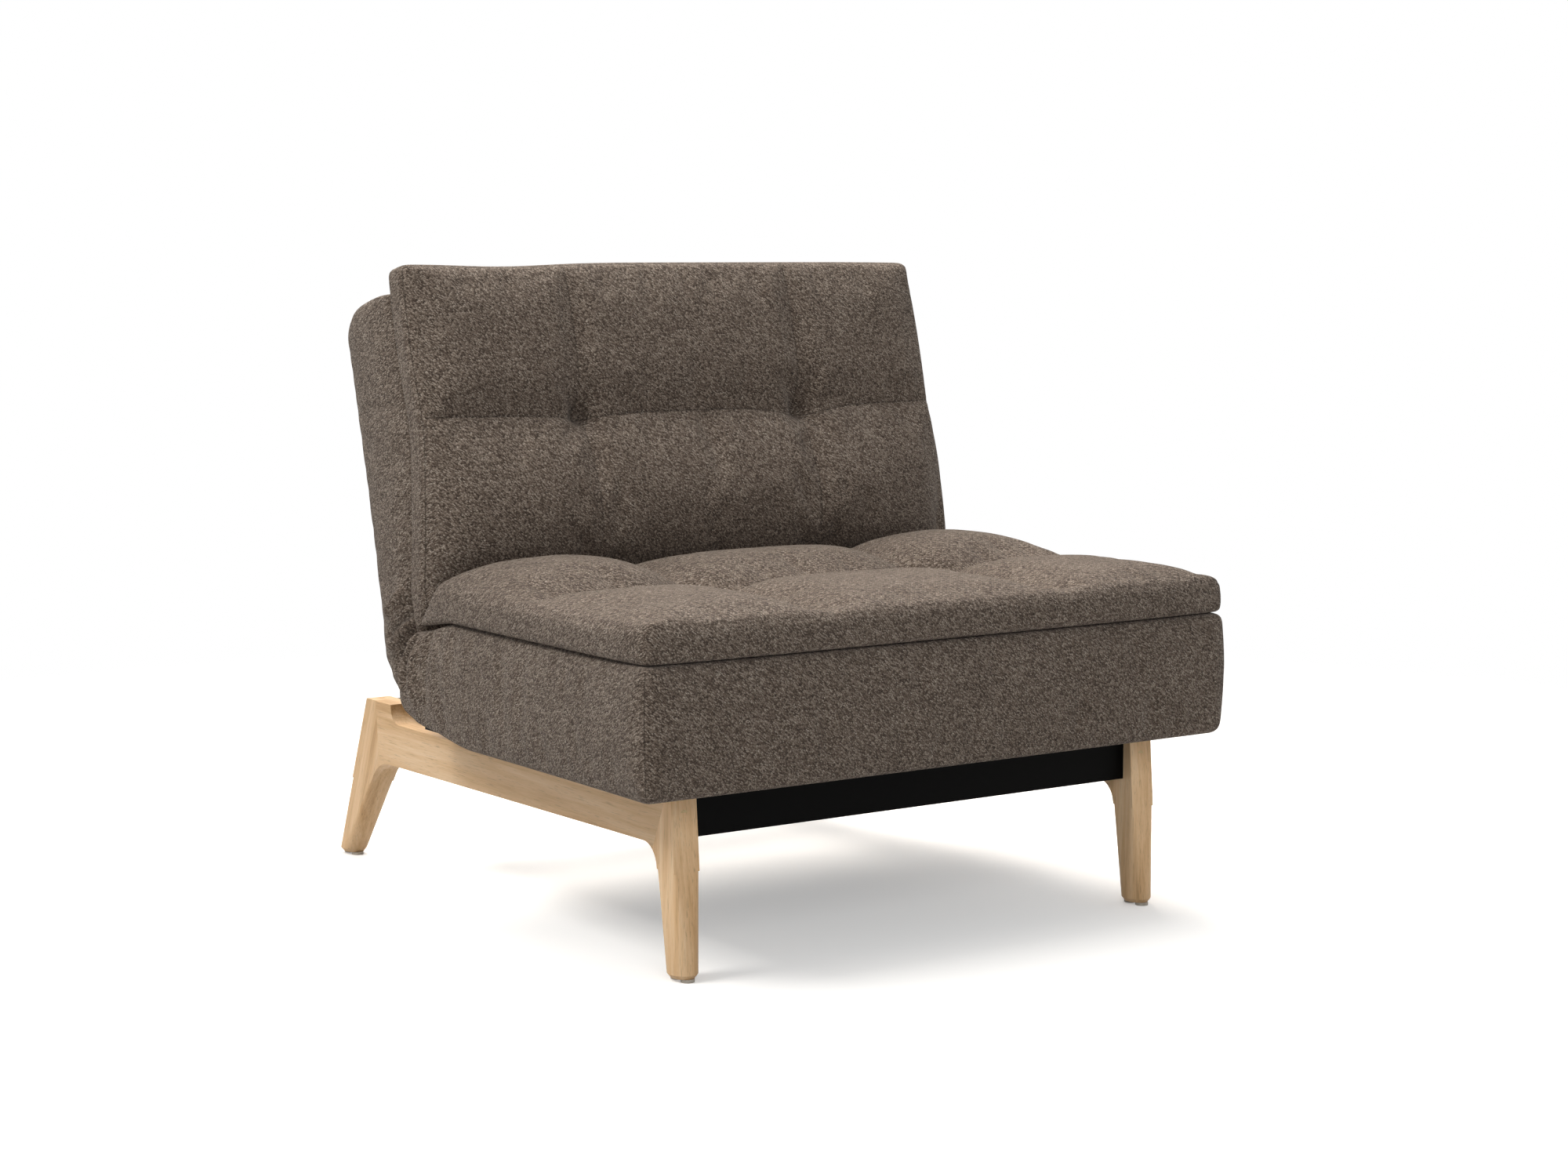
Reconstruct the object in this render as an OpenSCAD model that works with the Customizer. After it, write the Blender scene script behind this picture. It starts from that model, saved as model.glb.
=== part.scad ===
// Armless sleeper chair: a tufted mattress in two halves on an oak and steel base.
// The back stands on a ratchet hinge at each side and lets down flat into a bed.
// X runs across the chair, Y from the front edge of the seat to the rear, Z up
// from the floor. Every piece is drawn with Y counted from the seat's front edge,
// and the back is drawn lying flat, then raised about the hinge line.

/* [Mattress] */
// Width of the seat
seat_width = 900; // [860:10:960]
// Front edge of the seat to the hinge line
seat_depth = 640; // [620:5:660]
// Height of the seat's underside above the floor
seat_underside = 236; // [220:2:250]
// Thickness of the seat's lower layer
seat_base_thickness = 154; // [145:1:165]
// Width of the back
back_width = 836; // [820:4:852]
// Hinge line to the top of the back's lower layer
back_length = 498; // [470:2:520]
// Thickness of the back's lower layer
back_base_thickness = 143; // [135:1:150]
// Thickness of both top pads at the edge
pad_edge = 43; // [36:1:50]
// Rise of the seat pad above its edge
seat_crown = 29; // [16:1:34]
// Rise of the back pad above its edge
back_crown = 14; // [8:1:20]
// Hinge line back to the end of the seat's lower layer
hinge_clearance = 20; // [14:1:24]
// Drop of the back's top layers towards the crease
back_dip = 45; // [30:1:50]
// Hinge line to where that drop begins
back_dip_start = 300; // [260:5:330]
// Distance from the hinge line where the back's dip is full
back_dip_full = 100; // [80:5:140]
// How far the back pad stands past the lower layer
pad_overhang = 30; // [15:1:40]
// Middle of the chair to each column of tufts
tuft_x = 180; // [140:5:220]
// Front edge of the seat to its row of tufts
seat_row = 305; // [260:5:340]
// Top of the back pad to its row of tufts
back_row = 205; // [180:5:230]
// Seat pad's channels: depth across, depth along and breadth
seat_channel = [13, 15, 46]; // [4:1:50]
// Seat pad's tufts: depth and breadth
seat_tuft = [16, 38]; // [10:1:44]
// Back pad's channels: depth across, depth along and breadth
back_channel = [3, 14, 42]; // [2:1:50]
// Back pad's tufts: depth and breadth
back_tuft = [18, 20]; // [14:1:32]
// Height of the back pad's lower puffs over its crown
back_puff = 16; // [0:1:20]
// Hinge line to the middle of those puffs
back_puff_middle = 190; // [180:1:200]
// How far the back pad's sides draw in at its row of tufts
back_pinch = 6; // [0:1:10]
// Inset of the tubular frames from the mattress sides
frame_inset = 26; // [20:1:35]

/* [Hinge] */
// Height of the hinge line above the seat's underside
hinge_rise = 74; // [68:1:80]
// Turn of the back from upright to flat
fold_angle = 76.5; // [74:0.5:78]
// Turn of the back forward to free the ratchet
release_angle = 6; // [4:0.5:8]
// Slope of the crease between seat and back
crease_angle = 124; // [122:0.5:126]
// Diameter of the hinge pin
hinge_pin_d = 12; // [10:0.5:14]
// Thickness of the hinge arms
arm_t = 4; // [3:0.5:5]
// Radius of the toothed disc
ratchet_r = 34; // [32:0.5:36]
// Depth of a ratchet notch
notch_depth = 6; // [4:0.5:7]
// Swing of the pawl into its notch
pawl_swing = 9.5; // [9:0.25:11]

/* [Steel frames] */
// Side of the square tube
tube = 25; // [20:1:28]
// Wall of the square tube
tube_wall = 2; // [1.5:0.25:3]
// Thickness of the lining cloth under seat and back
lining_t = 1.5; // [1:0.25:2.5]
// Width of a slat
slat_w = 50; // [40:2:60]
// Thickness of a slat
slat_t = 8; // [6:0.5:10]
// Rise of a slat at its middle
slat_rise = 9; // [4:1:10]

/* [Wooden frame] */
// Outside width over the two side frames
base_width = 752; // [720:4:780]
// Thickness of the side frames
wood_t = 36; // [32:1:40]
// Top of the side rail above the floor
rail_top = 213; // [205:1:216]
// Underside of the side rail at the front
rail_under_front = 162; // [156:1:166]
// Underside of the side rail at the rear
rail_under_rear = 153; // [148:1:158]
// Front edge of the seat to the middle of the front foot
front_foot_y = 68; // [60:1:72]
// Front edge of the seat to the middle of the rear foot
rear_foot_y = 951; // [930:1:970]
// Length of a foot from front to rear
foot_length = 42; // [38:1:44]
// Front edge of the seat to the front of the rear horn
horn_y = 791; // [785:1:800]
// Length of the rear horn
horn_length = 74; // [68:1:80]
// Diameter of a floor glide
glide_d = 17; // [14:0.5:18]
// Thickness of a floor glide
glide_t = 4; // [3:0.5:6]
// Diameter of a dowel
dowel_d = 10; // [8:0.5:11]

/* [Cross rails] */
// Front edge of the seat to the face of the front rail
front_rail_y = 77; // [75:1:80]
// Front of the rear horn to the face of the rear rail
rear_rail_set = 26; // [23:1:29]
// Height of the cross rails
rail_h = 67; // [60:1:70]
// Depth of the cross rails' flanges
rail_flange = 28; // [26:1:30]
// Thickness of the cross rails' sheet
rail_t = 3; // [2:0.5:4]
// Thickness of the rails' end plates
plate_t = 6; // [4:0.5:8]
// How far the rear end plates reach ahead of their rail, behind the notch
rear_plate_ahead = 60; // [40:1:70]
// Diameter of the bolts
bolt_d = 6; // [5:0.5:6.5]

/* [Hidden] */

$fn = 48;
left = -1;
right = 1;
oak = "#C9A57F";
cloth = "#6F6359";
steel = "#16171A";
zinc = "#B8BCC0";
birch = "#D9C08F";
plastic = "#D8D2C6";
lining = "#22211F";

// Clearances
running = 0.05;      // a pin in the bore that turns on it
soft_gap = 1.5;      // each half of the mattress to the hinge line
crease_spare = 0.3;  // degrees kept open in the crease at full release
arm_gap = 0.5;       // between the two arms of a hinge, filled by a washer
slot_spare = 0.2;    // a slat in its holder
layer_gap = 0.3;     // a pad above the layer that it lies on

// Heights
hinge_z = seat_underside + hinge_rise;
hinge_y = seat_depth;
seat_base_top = seat_underside + seat_base_thickness;
seat_pad_top = seat_base_top + layer_gap + pad_edge;
horn_top = seat_underside + 2.5;
back_underside = horn_top + 0.5;
back_base_top = back_underside + back_base_thickness;
back_pad_top = back_base_top + layer_gap + pad_edge;
seat_tube_z = seat_underside + lining_t;
back_tube_z = back_underside + lining_t;
overall_depth = rear_foot_y + foot_length / 2;

// Crease: each half ends on its own slope through the hinge line
seat_slope = 180 - crease_angle - release_angle / 2 - crease_spare;
back_slope = crease_angle - release_angle / 2 - crease_spare - fold_angle;
function seat_end(z) = hinge_y - soft_gap - (z - hinge_z) / tan(seat_slope);
function back_end(z) = hinge_y + soft_gap + (z - hinge_z) / tan(back_slope);
seat_rear = hinge_y - hinge_clearance;

// Drop of the back's top at a distance from the hinge line
function dip(d) = back_dip
    * pow(min(1, max(0, (back_dip_start - d) / (back_dip_start - back_dip_full))), 1.6);

dip_step = 40;

// Swelling of the back pad's middle, which stays out where its sides dip
puff_breadth = 70;
puff_low = 80;
puff_high = 145;
function smooth(t) = t * t * (3 - 2 * t);
function swelling(d) = back_puff * bump((d - back_puff_middle) / puff_breadth)
    + dip(d) * smooth(min(1, max(0, (d - puff_low) / (puff_high - puff_low))));

// Frame of the seat, from its front to its rear face
seat_tube_x = seat_width / 2 - frame_inset;
seat_frame_front = 30;
seat_frame_rear = hinge_y - 45;
bearer_y = front_rail_y + (rail_flange - tube) / 2;

// Hinge arms stand side by side, inside the seat's side tubes
seat_arm_x = seat_tube_x - tube;
back_arm_x = seat_arm_x - arm_t - arm_gap;
back_tube_x = back_arm_x - arm_t;
back_frame_low = hinge_y + 25;
back_frame_high = hinge_y + back_length - 28;

seat_arm_length = 100;
seat_arm_front = hinge_y - seat_arm_length;
back_arm_end = back_frame_low + 85;

// Pawl: its pivot and nose lie square to each other about the hinge pin
nose_angle = 225;
pawl_reach = 40;
pawl_rise = 41;
pawl_pin_d = 8;
pawl_bar = 9;
nose_w = 8;
nose_gap = 1;
nose_taper = 1.1;
lounge_angle = 38;

// Side frames
wood_x = base_width / 2;
inner_x = wood_x - wood_t;
leg_back_y = front_rail_y + 22;
front_leg_low = 132;
rear_leg_low = 118;
leg_lean = 0.078;
rear_rake = 0.416;
horn_rear = horn_y + horn_length;
rear_rail_y = horn_y + rear_rail_set;
notch_r = 22;
end_bolt_in = 12;
insert_d = bolt_d + 3;
insert_length = 12;
head_h = 4;
head_r = bolt_d * 0.85;
bracket_y = hinge_y - 72;
bracket_w = 58;
bracket_leg = 40;
bracket_t = 4;

function unit(v) = v / norm(v);

// Points along the rounding of corner b between a and c
function corner(a, b, c, r, n) =
    r <= 0 ? [b] :
    let (
        u = unit(a - b),
        w = unit(c - b),
        half = acos(u * w) / 2,
        m = b + unit(u + w) * r / sin(half),
        s = b + u * r / tan(half),
        e = b + w * r / tan(half),
        a0 = atan2(s.y - m.y, s.x - m.x),
        sweep = (atan2(e.y - m.y, e.x - m.x) - a0 + 540) % 360 - 180
    )
    [for (i = [0:n]) m + r * [cos(a0 + sweep * i / n), sin(a0 + sweep * i / n)]];

function rounded(pts, radii, n = 5) = [
    for (i = [0:len(pts) - 1])
        each corner(
            pts[(i + len(pts) - 1) % len(pts)], pts[i], pts[(i + 1) % len(pts)],
            radii[i], n
        )
];

// An outline in Y and Z, drawn out along X
module across(x0, x1) {
    translate([x0, 0, 0])
        rotate([90, 0, 90])
            linear_extrude(x1 - x0)
                children();
}

// An outline in X and Z, drawn out along Y
module lengthways(y0, y1) {
    translate([0, y1, 0])
        rotate([90, 0, 0])
            linear_extrude(y1 - y0)
                children();
}

// A box between two corners
module box(a, b) {
    translate(a)
        cube(b - a);
}

// A cylinder along X from x0 to x1
module rod_x(x0, x1, y, z, d) {
    translate([min(x0, x1), y, z])
        rotate([0, 90, 0])
            cylinder(h = abs(x1 - x0), d = d);
}

// The whole chair sits with its middle over the origin
module placed() {
    translate([0, -overall_depth / 2, 0])
        children();
}

// The back, drawn flat, stands up about the hinge line
module raised() {
    placed()
        translate([0, hinge_y, hinge_z])
            rotate([fold_angle, 0, 0])
                translate([0, -hinge_y, -hinge_z])
                    children();
}

// A piece for the right side, or its mirror image for the left
module on_side(side) {
    if (side == left)
        mirror([1, 0, 0])
            children();
    else
        children();
}

module both_sides() {
    children();
    mirror([1, 0, 0])
        children();
}

// Side frames: outlines shared by the oak pieces

front_edge_top = front_foot_y - foot_length / 2 + leg_lean * seat_underside;
function front_edge(z) = front_edge_top - leg_lean * (seat_underside - z);
leg_depth = 39;
front_corner = [front_edge(rail_under_front) + leg_depth, rail_under_front];
front_leg_foot = [front_edge(front_leg_low) + leg_depth, front_leg_low];
rail_straight = 100;
rail_far = [horn_y - rail_straight, rail_under_rear + 1];
rear_leg_width = 58;
function rear_edge(z) = horn_rear + rear_rake * (horn_top - z);
rear_leg_foot = [rear_edge(rear_leg_low) - rear_leg_width, rear_leg_low];
rear_corner = [rear_leg_foot.x - 25, rail_under_rear];
front_fillet = corner(rail_far, front_corner, front_leg_foot, 30, 8);
rear_fillet = corner(rear_leg_foot, rear_corner, rail_far, 60, 8);
front_joint_top = [front_rail_y + 3, rail_top];
rear_joint_top = [horn_y + 47, horn_top];
notch_arc = [
    for (i = [0:8])
        [horn_y - notch_r, rail_top + notch_r] + notch_r * [sin(i * 90 / 8), -cos(i * 90 / 8)]
];

module front_leg_outline() {
    polygon([
        [front_edge(front_leg_low), front_leg_low],
        [front_edge(seat_underside), seat_underside],
        [leg_back_y, seat_underside],
        [leg_back_y, rail_top],
        front_joint_top,
        for (i = [4:8]) front_fillet[i],
        front_leg_foot
    ]);
}

module side_rail_outline() {
    polygon([
        front_joint_top,
        for (p = notch_arc) p,
        [horn_y, horn_top],
        rear_joint_top,
        for (i = [4:8]) rear_fillet[i],
        for (i = [0:4]) front_fillet[i]
    ]);
}

module rear_leg_outline() {
    polygon([
        rear_joint_top,
        [horn_rear, horn_top],
        [rear_edge(rear_leg_low), rear_leg_low],
        rear_leg_foot,
        for (i = [0:4]) rear_fillet[i]
    ]);
}

// Thin slice of a leg: a rounded rectangle as wide as the side frame
module leg_slice(y0, y1, z, r) {
    translate([inner_x, y0, z])
        linear_extrude(0.5)
            polygon(rounded([[0, 0], [wood_t, 0], [wood_t, y1 - y0], [0, y1 - y0]],
                            [r, r, r, r], 6));
}

// Thin slice of a foot: an oval
module foot_slice(y, z, trim) {
    translate([inner_x + wood_t / 2, y, z])
        linear_extrude(0.5)
            scale([(wood_t - trim) / (foot_length - trim), 1, 1])
                circle(d = foot_length - trim, $fn = 32);
}

module lower_leg(y0, y1, z_top, foot_y) {
    hull() {
        leg_slice(y0, y1, z_top, 4);
        foot_slice(foot_y, glide_t + 5, 0);
        foot_slice(foot_y, glide_t, 8);
    }
}

glide_offset = foot_length * 0.27;
glide_pin_d = 4;
glide_pin_length = 12;

module glide_holes(foot_y) {
    for (dy = [-glide_offset, glide_offset])
        translate([inner_x + wood_t / 2, foot_y + dy, 0])
            cylinder(h = glide_t + glide_pin_length, d = glide_pin_d);
}

// Dowels, inserts and bolts of one side, as solid rods

dowel_x = wood_x - wood_t / 2;
dowel_rows = [rail_top - 40, rail_top - 11];
dowel_length = 56;
function front_joint_y(z) = front_joint_top.x
    + (front_fillet[4].x - front_joint_top.x) * (rail_top - z) / (rail_top - front_fillet[4].y);
function rear_joint_y(z) = rear_joint_top.x
    + (rear_fillet[4].x - rear_joint_top.x) * (horn_top - z) / (horn_top - rear_fillet[4].y);

module dowel(y, z) {
    translate([dowel_x, y + dowel_length / 2, z])
        rotate([90, 0, 0])
            cylinder(h = dowel_length, d = dowel_d);
}

module front_dowels() {
    for (z = dowel_rows)
        dowel(front_joint_y(z) + 6, z);
}

module rear_dowels() {
    for (z = dowel_rows)
        dowel(rear_joint_y(z), z);
}

// Middles of the bolts, as Y and Z
front_bolt_spots = [
    for (z = [seat_underside - rail_h + 10, seat_underside - 11]) [front_rail_y + end_bolt_in, z]
];
rear_leg_bolt_spots = [[rear_rail_y + 21, horn_top - 52]];
rear_horn_bolt_spots = [[rear_rail_y + 10, horn_top - 17]];
rear_bolt_spots = concat(rear_leg_bolt_spots, rear_horn_bolt_spots);
bracket_bolt_spots = [for (y = [14, bracket_w - 14]) [bracket_y + y, rail_top - 26]];

module insert_rods(spots, d) {
    for (p = spots)
        rod_x(inner_x, inner_x + insert_length, p.x, p.y, d);
}

module front_leg(side) {
    color(oak)
        on_side(side)
            difference() {
                union() {
                    across(inner_x, wood_x)
                        front_leg_outline();
                    lower_leg(front_edge(front_leg_low), front_leg_foot.x, front_leg_low,
                              front_foot_y);
                }
                front_dowels();
                insert_rods(front_bolt_spots, insert_d);
                glide_holes(front_foot_y);
            }
}

module side_rail(side) {
    color(oak)
        on_side(side)
            difference() {
                across(inner_x, wood_x)
                    side_rail_outline();
                front_dowels();
                rear_dowels();
                insert_rods(concat(rear_horn_bolt_spots, bracket_bolt_spots), insert_d);
            }
}

module rear_leg(side) {
    color(oak)
        on_side(side)
            difference() {
                union() {
                    across(inner_x, wood_x)
                        rear_leg_outline();
                    lower_leg(rear_leg_foot.x, rear_edge(rear_leg_low), rear_leg_low,
                              rear_foot_y);
                }
                rear_dowels();
                insert_rods(rear_leg_bolt_spots, insert_d);
                glide_holes(rear_foot_y);
            }
}

module joint_dowels() {
    color(birch)
        both_sides() {
            front_dowels();
            rear_dowels();
        }
}

module floor_glides() {
    color(plastic)
        both_sides()
            for (foot_y = [front_foot_y, rear_foot_y])
                for (dy = [-glide_offset, glide_offset])
                    translate([inner_x + wood_t / 2, foot_y + dy, 0]) {
                        cylinder(h = glide_t, d = glide_d);
                        cylinder(h = glide_t + glide_pin_length, d = glide_pin_d);
                    }
}

// Steel cross rails, end plates and their bolts

rail_x = inner_x - plate_t;
front_rail_z = seat_underside - rail_h;
rear_rail_z = horn_top - 0.5 - rail_h;
seat_bolt_x = rail_x - 40;
seat_bolt_y = bearer_y + tube / 2;
bracket_bolt_x = inner_x - bracket_leg / 2;
bracket_bolt_y = seat_frame_rear - tube / 2;
bolt_hole_d = bolt_d + 0.4;

module channel(y, z) {
    across(-rail_x, rail_x)
        polygon([
            [y, z], [y + rail_flange, z], [y + rail_flange, z + rail_t],
            [y + rail_t, z + rail_t], [y + rail_t, z + rail_h - rail_t],
            [y + rail_flange, z + rail_h - rail_t], [y + rail_flange, z + rail_h],
            [y, z + rail_h]
        ]);
}

module seat_bolt_rods(d, z0, z1) {
    for (side = [left, right])
        translate([side * seat_bolt_x, seat_bolt_y, z0])
            cylinder(h = z1 - z0, d = d);
}

module bracket_top_rods(d, z0, z1) {
    for (side = [left, right])
        translate([side * bracket_bolt_x, bracket_bolt_y, z0])
            cylinder(h = z1 - z0, d = d);
}

module front_cross_rail() {
    color(steel)
        difference() {
            channel(front_rail_y, front_rail_z);
            seat_bolt_rods(bolt_hole_d, seat_underside - 2 * rail_t, seat_underside + 1);
        }
}

module rear_cross_rail() {
    color(steel)
        channel(rear_rail_y, rear_rail_z);
}

module end_plate(side, y, z, spots, ahead) {
    color(steel)
        on_side(side)
            difference() {
                box([rail_x, y - ahead, z], [inner_x, y + rail_flange, z + rail_h]);
                for (p = spots)
                    rod_x(rail_x - 1, inner_x + 1, p.x, p.y, bolt_hole_d);
            }
}

// A bolt along X with a six-sided head, its head against face x
module side_bolt(x, y, z, length) {
    rod_x(x, x + length, y, z, bolt_d);
    translate([x - head_h, y, z])
        rotate([0, 90, 0])
            cylinder(h = head_h, r = head_r, $fn = 6);
}

module frame_bolts() {
    color(zinc)
        both_sides()
            for (p = concat(front_bolt_spots, rear_bolt_spots))
                side_bolt(rail_x, p.x, p.y, plate_t + insert_length - 1);
}

module bracket_bolts() {
    color(zinc)
        both_sides()
            for (p = bracket_bolt_spots)
                side_bolt(inner_x - bracket_t, p.x, p.y, bracket_t + insert_length - 1);
}

module threaded_inserts() {
    color("#B08D4A")
        both_sides()
            difference() {
                insert_rods(concat(front_bolt_spots, rear_bolt_spots, bracket_bolt_spots),
                            insert_d);
                for (p = concat(front_bolt_spots, rear_bolt_spots, bracket_bolt_spots))
                    rod_x(inner_x - 1, inner_x + insert_length + 1, p.x, p.y, bolt_d);
            }
}

module seat_bracket(side) {
    flange_z = rail_top - 50;
    color(steel)
        on_side(side)
            difference() {
                lengthways(bracket_y, bracket_y + bracket_w)
                    polygon([
                        [inner_x, flange_z], [inner_x, seat_underside],
                        [inner_x - bracket_leg, seat_underside],
                        [inner_x - bracket_leg, seat_underside - bracket_t],
                        [inner_x - bracket_t, seat_underside - bracket_t],
                        [inner_x - bracket_t, flange_z]
                    ]);
                for (p = bracket_bolt_spots)
                    rod_x(inner_x - 10, inner_x + 1, p.x, p.y, bolt_hole_d);
                bracket_top_rods(bolt_hole_d, seat_underside - 10, seat_underside + 1);
            }
}

// Four upright bolts hold the seat frame on the front rail and the brackets
seat_bolt_end = seat_tube_z + tube_wall + 6;

module upright_bolt(x, y, face_z) {
    translate([x, y, face_z]) {
        cylinder(h = seat_bolt_end - face_z, d = bolt_d);
        translate([0, 0, -head_h])
            cylinder(h = head_h, r = head_r, $fn = 6);
    }
}

module seat_bolts() {
    color(zinc)
        both_sides() {
            upright_bolt(seat_bolt_x, seat_bolt_y, seat_underside - rail_t);
            upright_bolt(bracket_bolt_x, bracket_bolt_y, seat_underside - bracket_t);
        }
}

// Tubular frames: square tube between two ends

module tube_x(half, y, z) {
    across(-half, half)
        difference() {
            translate([y, z])
                square(tube);
            translate([y + tube_wall, z + tube_wall])
                square(tube - 2 * tube_wall);
        }
}

module tube_y(x, y0, y1, z) {
    lengthways(y0, y1)
        difference() {
            translate([x, z])
                square(tube);
            translate([x + tube_wall, z + tube_wall])
                square(tube - 2 * tube_wall);
        }
}

module seat_front_tube() {
    color(steel)
        tube_x(seat_tube_x - tube, seat_frame_front, seat_tube_z);
}

module seat_bearer_tube() {
    color(steel)
        difference() {
            tube_x(seat_tube_x - tube, bearer_y, seat_tube_z);
            seat_bolt_rods(bolt_d, seat_tube_z - 1, seat_tube_z + tube / 2);
        }
}

module seat_rear_tube() {
    color(steel)
        difference() {
            tube_x(seat_arm_x - arm_t, seat_frame_rear - tube, seat_tube_z);
            bracket_top_rods(bolt_d, seat_tube_z - 1, seat_tube_z + tube / 2);
        }
}

module seat_side_tube(side) {
    color(steel)
        on_side(side)
            tube_y(seat_tube_x - tube, seat_frame_front, seat_frame_rear, seat_tube_z);
}

module back_cross_tube(y) {
    color(steel)
        tube_x(back_tube_x - tube, y, back_tube_z);
}

module back_side_tube(side) {
    color(steel)
        on_side(side)
            tube_y(back_tube_x - tube, back_frame_low, back_frame_high, back_tube_z);
}

// Sprung slats: a flat arch between plastic holders on the side tubes

holder_depth = 20;
holder_h = 16;
slat_tip = 4;

// Arch in X and Z, from -half to half, its underside at z in the ends
module slat_outline(half, z, grow) {
    steps = 16;
    polygon([
        for (i = [0:steps])
            let (t = 2 * i / steps - 1) [t * half, z - grow + slat_rise * (1 - t * t)],
        for (i = [steps:-1:0])
            let (t = 2 * i / steps - 1) [t * half, z + slat_t + grow + slat_rise * (1 - t * t)]
    ]);
}

function slat_z(tube_z) = tube_z + tube - slat_t - slat_rise - 0.3;

module slat(half, y, tube_z, grow = 0) {
    lengthways(y - grow, y + slat_w + grow)
        slat_outline(half + grow, slat_z(tube_z), grow);
}

module slat_holders(tube_face, rows, tube_z) {
    difference() {
        for (y = rows)
            for (side = [left, right])
                on_side(side)
                    box([tube_face - holder_depth, y - 4, slat_z(tube_z) - 3.5],
                        [tube_face, y + slat_w + 4, slat_z(tube_z) - 3.5 + holder_h]);
        for (y = rows)
            slat(tube_face - slat_tip, y, tube_z, slot_spare);
    }
}

// Where each slat starts: an even spread between two cross tubes
function slat_rows(y0, y1, n) = [
    for (i = [0:n - 1]) y0 + (y1 - y0 - n * slat_w) * (i + 1) / (n + 1) + i * slat_w
];
seat_slat_rows = slat_rows(bearer_y + tube, seat_frame_rear - tube, 4);
back_slat_rows = slat_rows(back_frame_low + tube, back_frame_high - tube, 4);
seat_slat_face = seat_tube_x - tube;
back_slat_face = back_tube_x - tube;

module seat_slat(i) {
    color(birch)
        slat(seat_slat_face - slat_tip, seat_slat_rows[i], seat_tube_z);
}

module back_slat(i) {
    color(birch)
        slat(back_slat_face - slat_tip, back_slat_rows[i], back_tube_z);
}

module seat_slat_holders() {
    color(plastic)
        slat_holders(seat_slat_face, seat_slat_rows, seat_tube_z);
}

module back_slat_holders() {
    color(plastic)
        slat_holders(back_slat_face, back_slat_rows, back_tube_z);
}

// Lower layers of the mattress: bellied slabs with rounded edges

belly = 5;
side_draw = 4;
edge_r = 10;
under_r = 16;
front_corner_r = 14;
rear_corner_r = 12;
belly_r = 300;
seat_rear_r = 26;
back_end_r = 34;
back_belly = 3;
back_under_r = 8;
crease_r = 10;

// A slab cut out by its side, plan and front outlines
module slab(width, y0, y1, z0, z1, plump, low_r, side_points, side_radii) {
    w = width / 2;
    zm = (z0 + z1) / 2;
    ym = (y0 + y1) / 2;
    intersection() {
        across(-w - 1, w + 1)
            polygon(rounded(side_points, side_radii));
        translate([0, 0, z0 - 1])
            linear_extrude(z1 - z0 + 2)
                polygon(rounded(
                    [[-w, y0], [w, y0], [w - side_draw, ym], [w, y1], [-w, y1],
                     [side_draw - w, ym]],
                    [front_corner_r, front_corner_r, belly_r, rear_corner_r, rear_corner_r,
                     belly_r]));
        lengthways(y0 - 1, y1 + 1)
            polygon(rounded(
                [[plump - w, z0], [w - plump, z0], [w, zm], [w - plump, z1],
                 [plump - w, z1], [-w, zm]],
                [low_r, low_r, belly_r, edge_r, edge_r, belly_r]));
    }
}

// Room for both hinge arms and the pawl, open towards the crease
hinge_room = ratchet_r + 4;

module hinge_rooms(y0, y1, z0) {
    for (side = [left, right])
        on_side(side)
            box([back_tube_x - 4, y0, z0], [seat_arm_x + 5, y1, hinge_z + hinge_room]);
}

core_wall = 12;
seat_core = [
    [tube - back_tube_x, 60, seat_tube_z + tube + core_wall],
    [back_tube_x - tube, hinge_y - 95, seat_base_top - core_wall]
];
back_core = [
    [tube - back_tube_x, back_frame_low + tube, back_tube_z + tube + core_wall],
    [back_tube_x - tube, hinge_y + back_length - 40, back_base_top - back_dip - core_wall]
];

module seat_base_cushion() {
    zb = seat_underside;
    zt = seat_base_top;
    color(cloth)
        difference() {
            slab(seat_width, 0, seat_rear, zb, zt, belly, under_r,
                 [[belly, zb], [0, (zb + zt) / 2], [belly, zt], [seat_end(zt), zt],
                  [seat_rear, hinge_z + (hinge_clearance - soft_gap) * tan(seat_slope)],
                  [seat_rear, zb]],
                 [under_r, belly_r, edge_r, crease_r, crease_r, seat_rear_r]);
            box([-seat_tube_x, seat_frame_front, zb - 1],
                [seat_tube_x, seat_frame_rear, seat_tube_z + tube]);
            box(seat_core[0], seat_core[1]);
            hinge_rooms(seat_arm_front - 5, hinge_y + 1, zb - 1);
        }
}

module back_base_cushion() {
    zb = back_underside;
    zt = back_base_top;
    far = hinge_y + back_length;
    color(cloth)
        difference() {
            slab(back_width, hinge_y, far, zb, zt, back_belly, back_under_r,
                 concat(
                     [[far - belly, zb], [far, (zb + zt) / 2], [far, zt]],
                     [for (d = [back_dip_start:-dip_step:back_dip_full]) [hinge_y + d, zt - dip(d)]],
                     [[back_end(zt - back_dip), zt - back_dip],
                      [hinge_y + soft_gap, hinge_z], [hinge_y + soft_gap, zb]]),
                 concat([back_end_r, belly_r, edge_r],
                        [for (d = [back_dip_start:-dip_step:back_dip_full]) 0],
                        [crease_r, 0, under_r]));
            box([-back_tube_x, back_frame_low, zb - 1],
                [back_tube_x, back_frame_high, back_tube_z + tube]);
            box(back_core[0], back_core[1]);
            hinge_rooms(hinge_y - 1, back_arm_end + 5, zb - 1);
        }
}

module seat_spring_core() {
    color(zinc)
        box(seat_core[0], seat_core[1]);
}

module back_spring_core() {
    color(zinc)
        box(back_core[0], back_core[1]);
}

module seat_lining() {
    color(lining)
        difference() {
            box([-seat_tube_x, seat_frame_front, seat_underside],
                [seat_tube_x, seat_frame_rear, seat_tube_z]);
            seat_bolt_rods(bolt_hole_d, seat_underside - 1, seat_tube_z + 1);
            bracket_top_rods(bolt_hole_d, seat_underside - 1, seat_tube_z + 1);
        }
}

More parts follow.
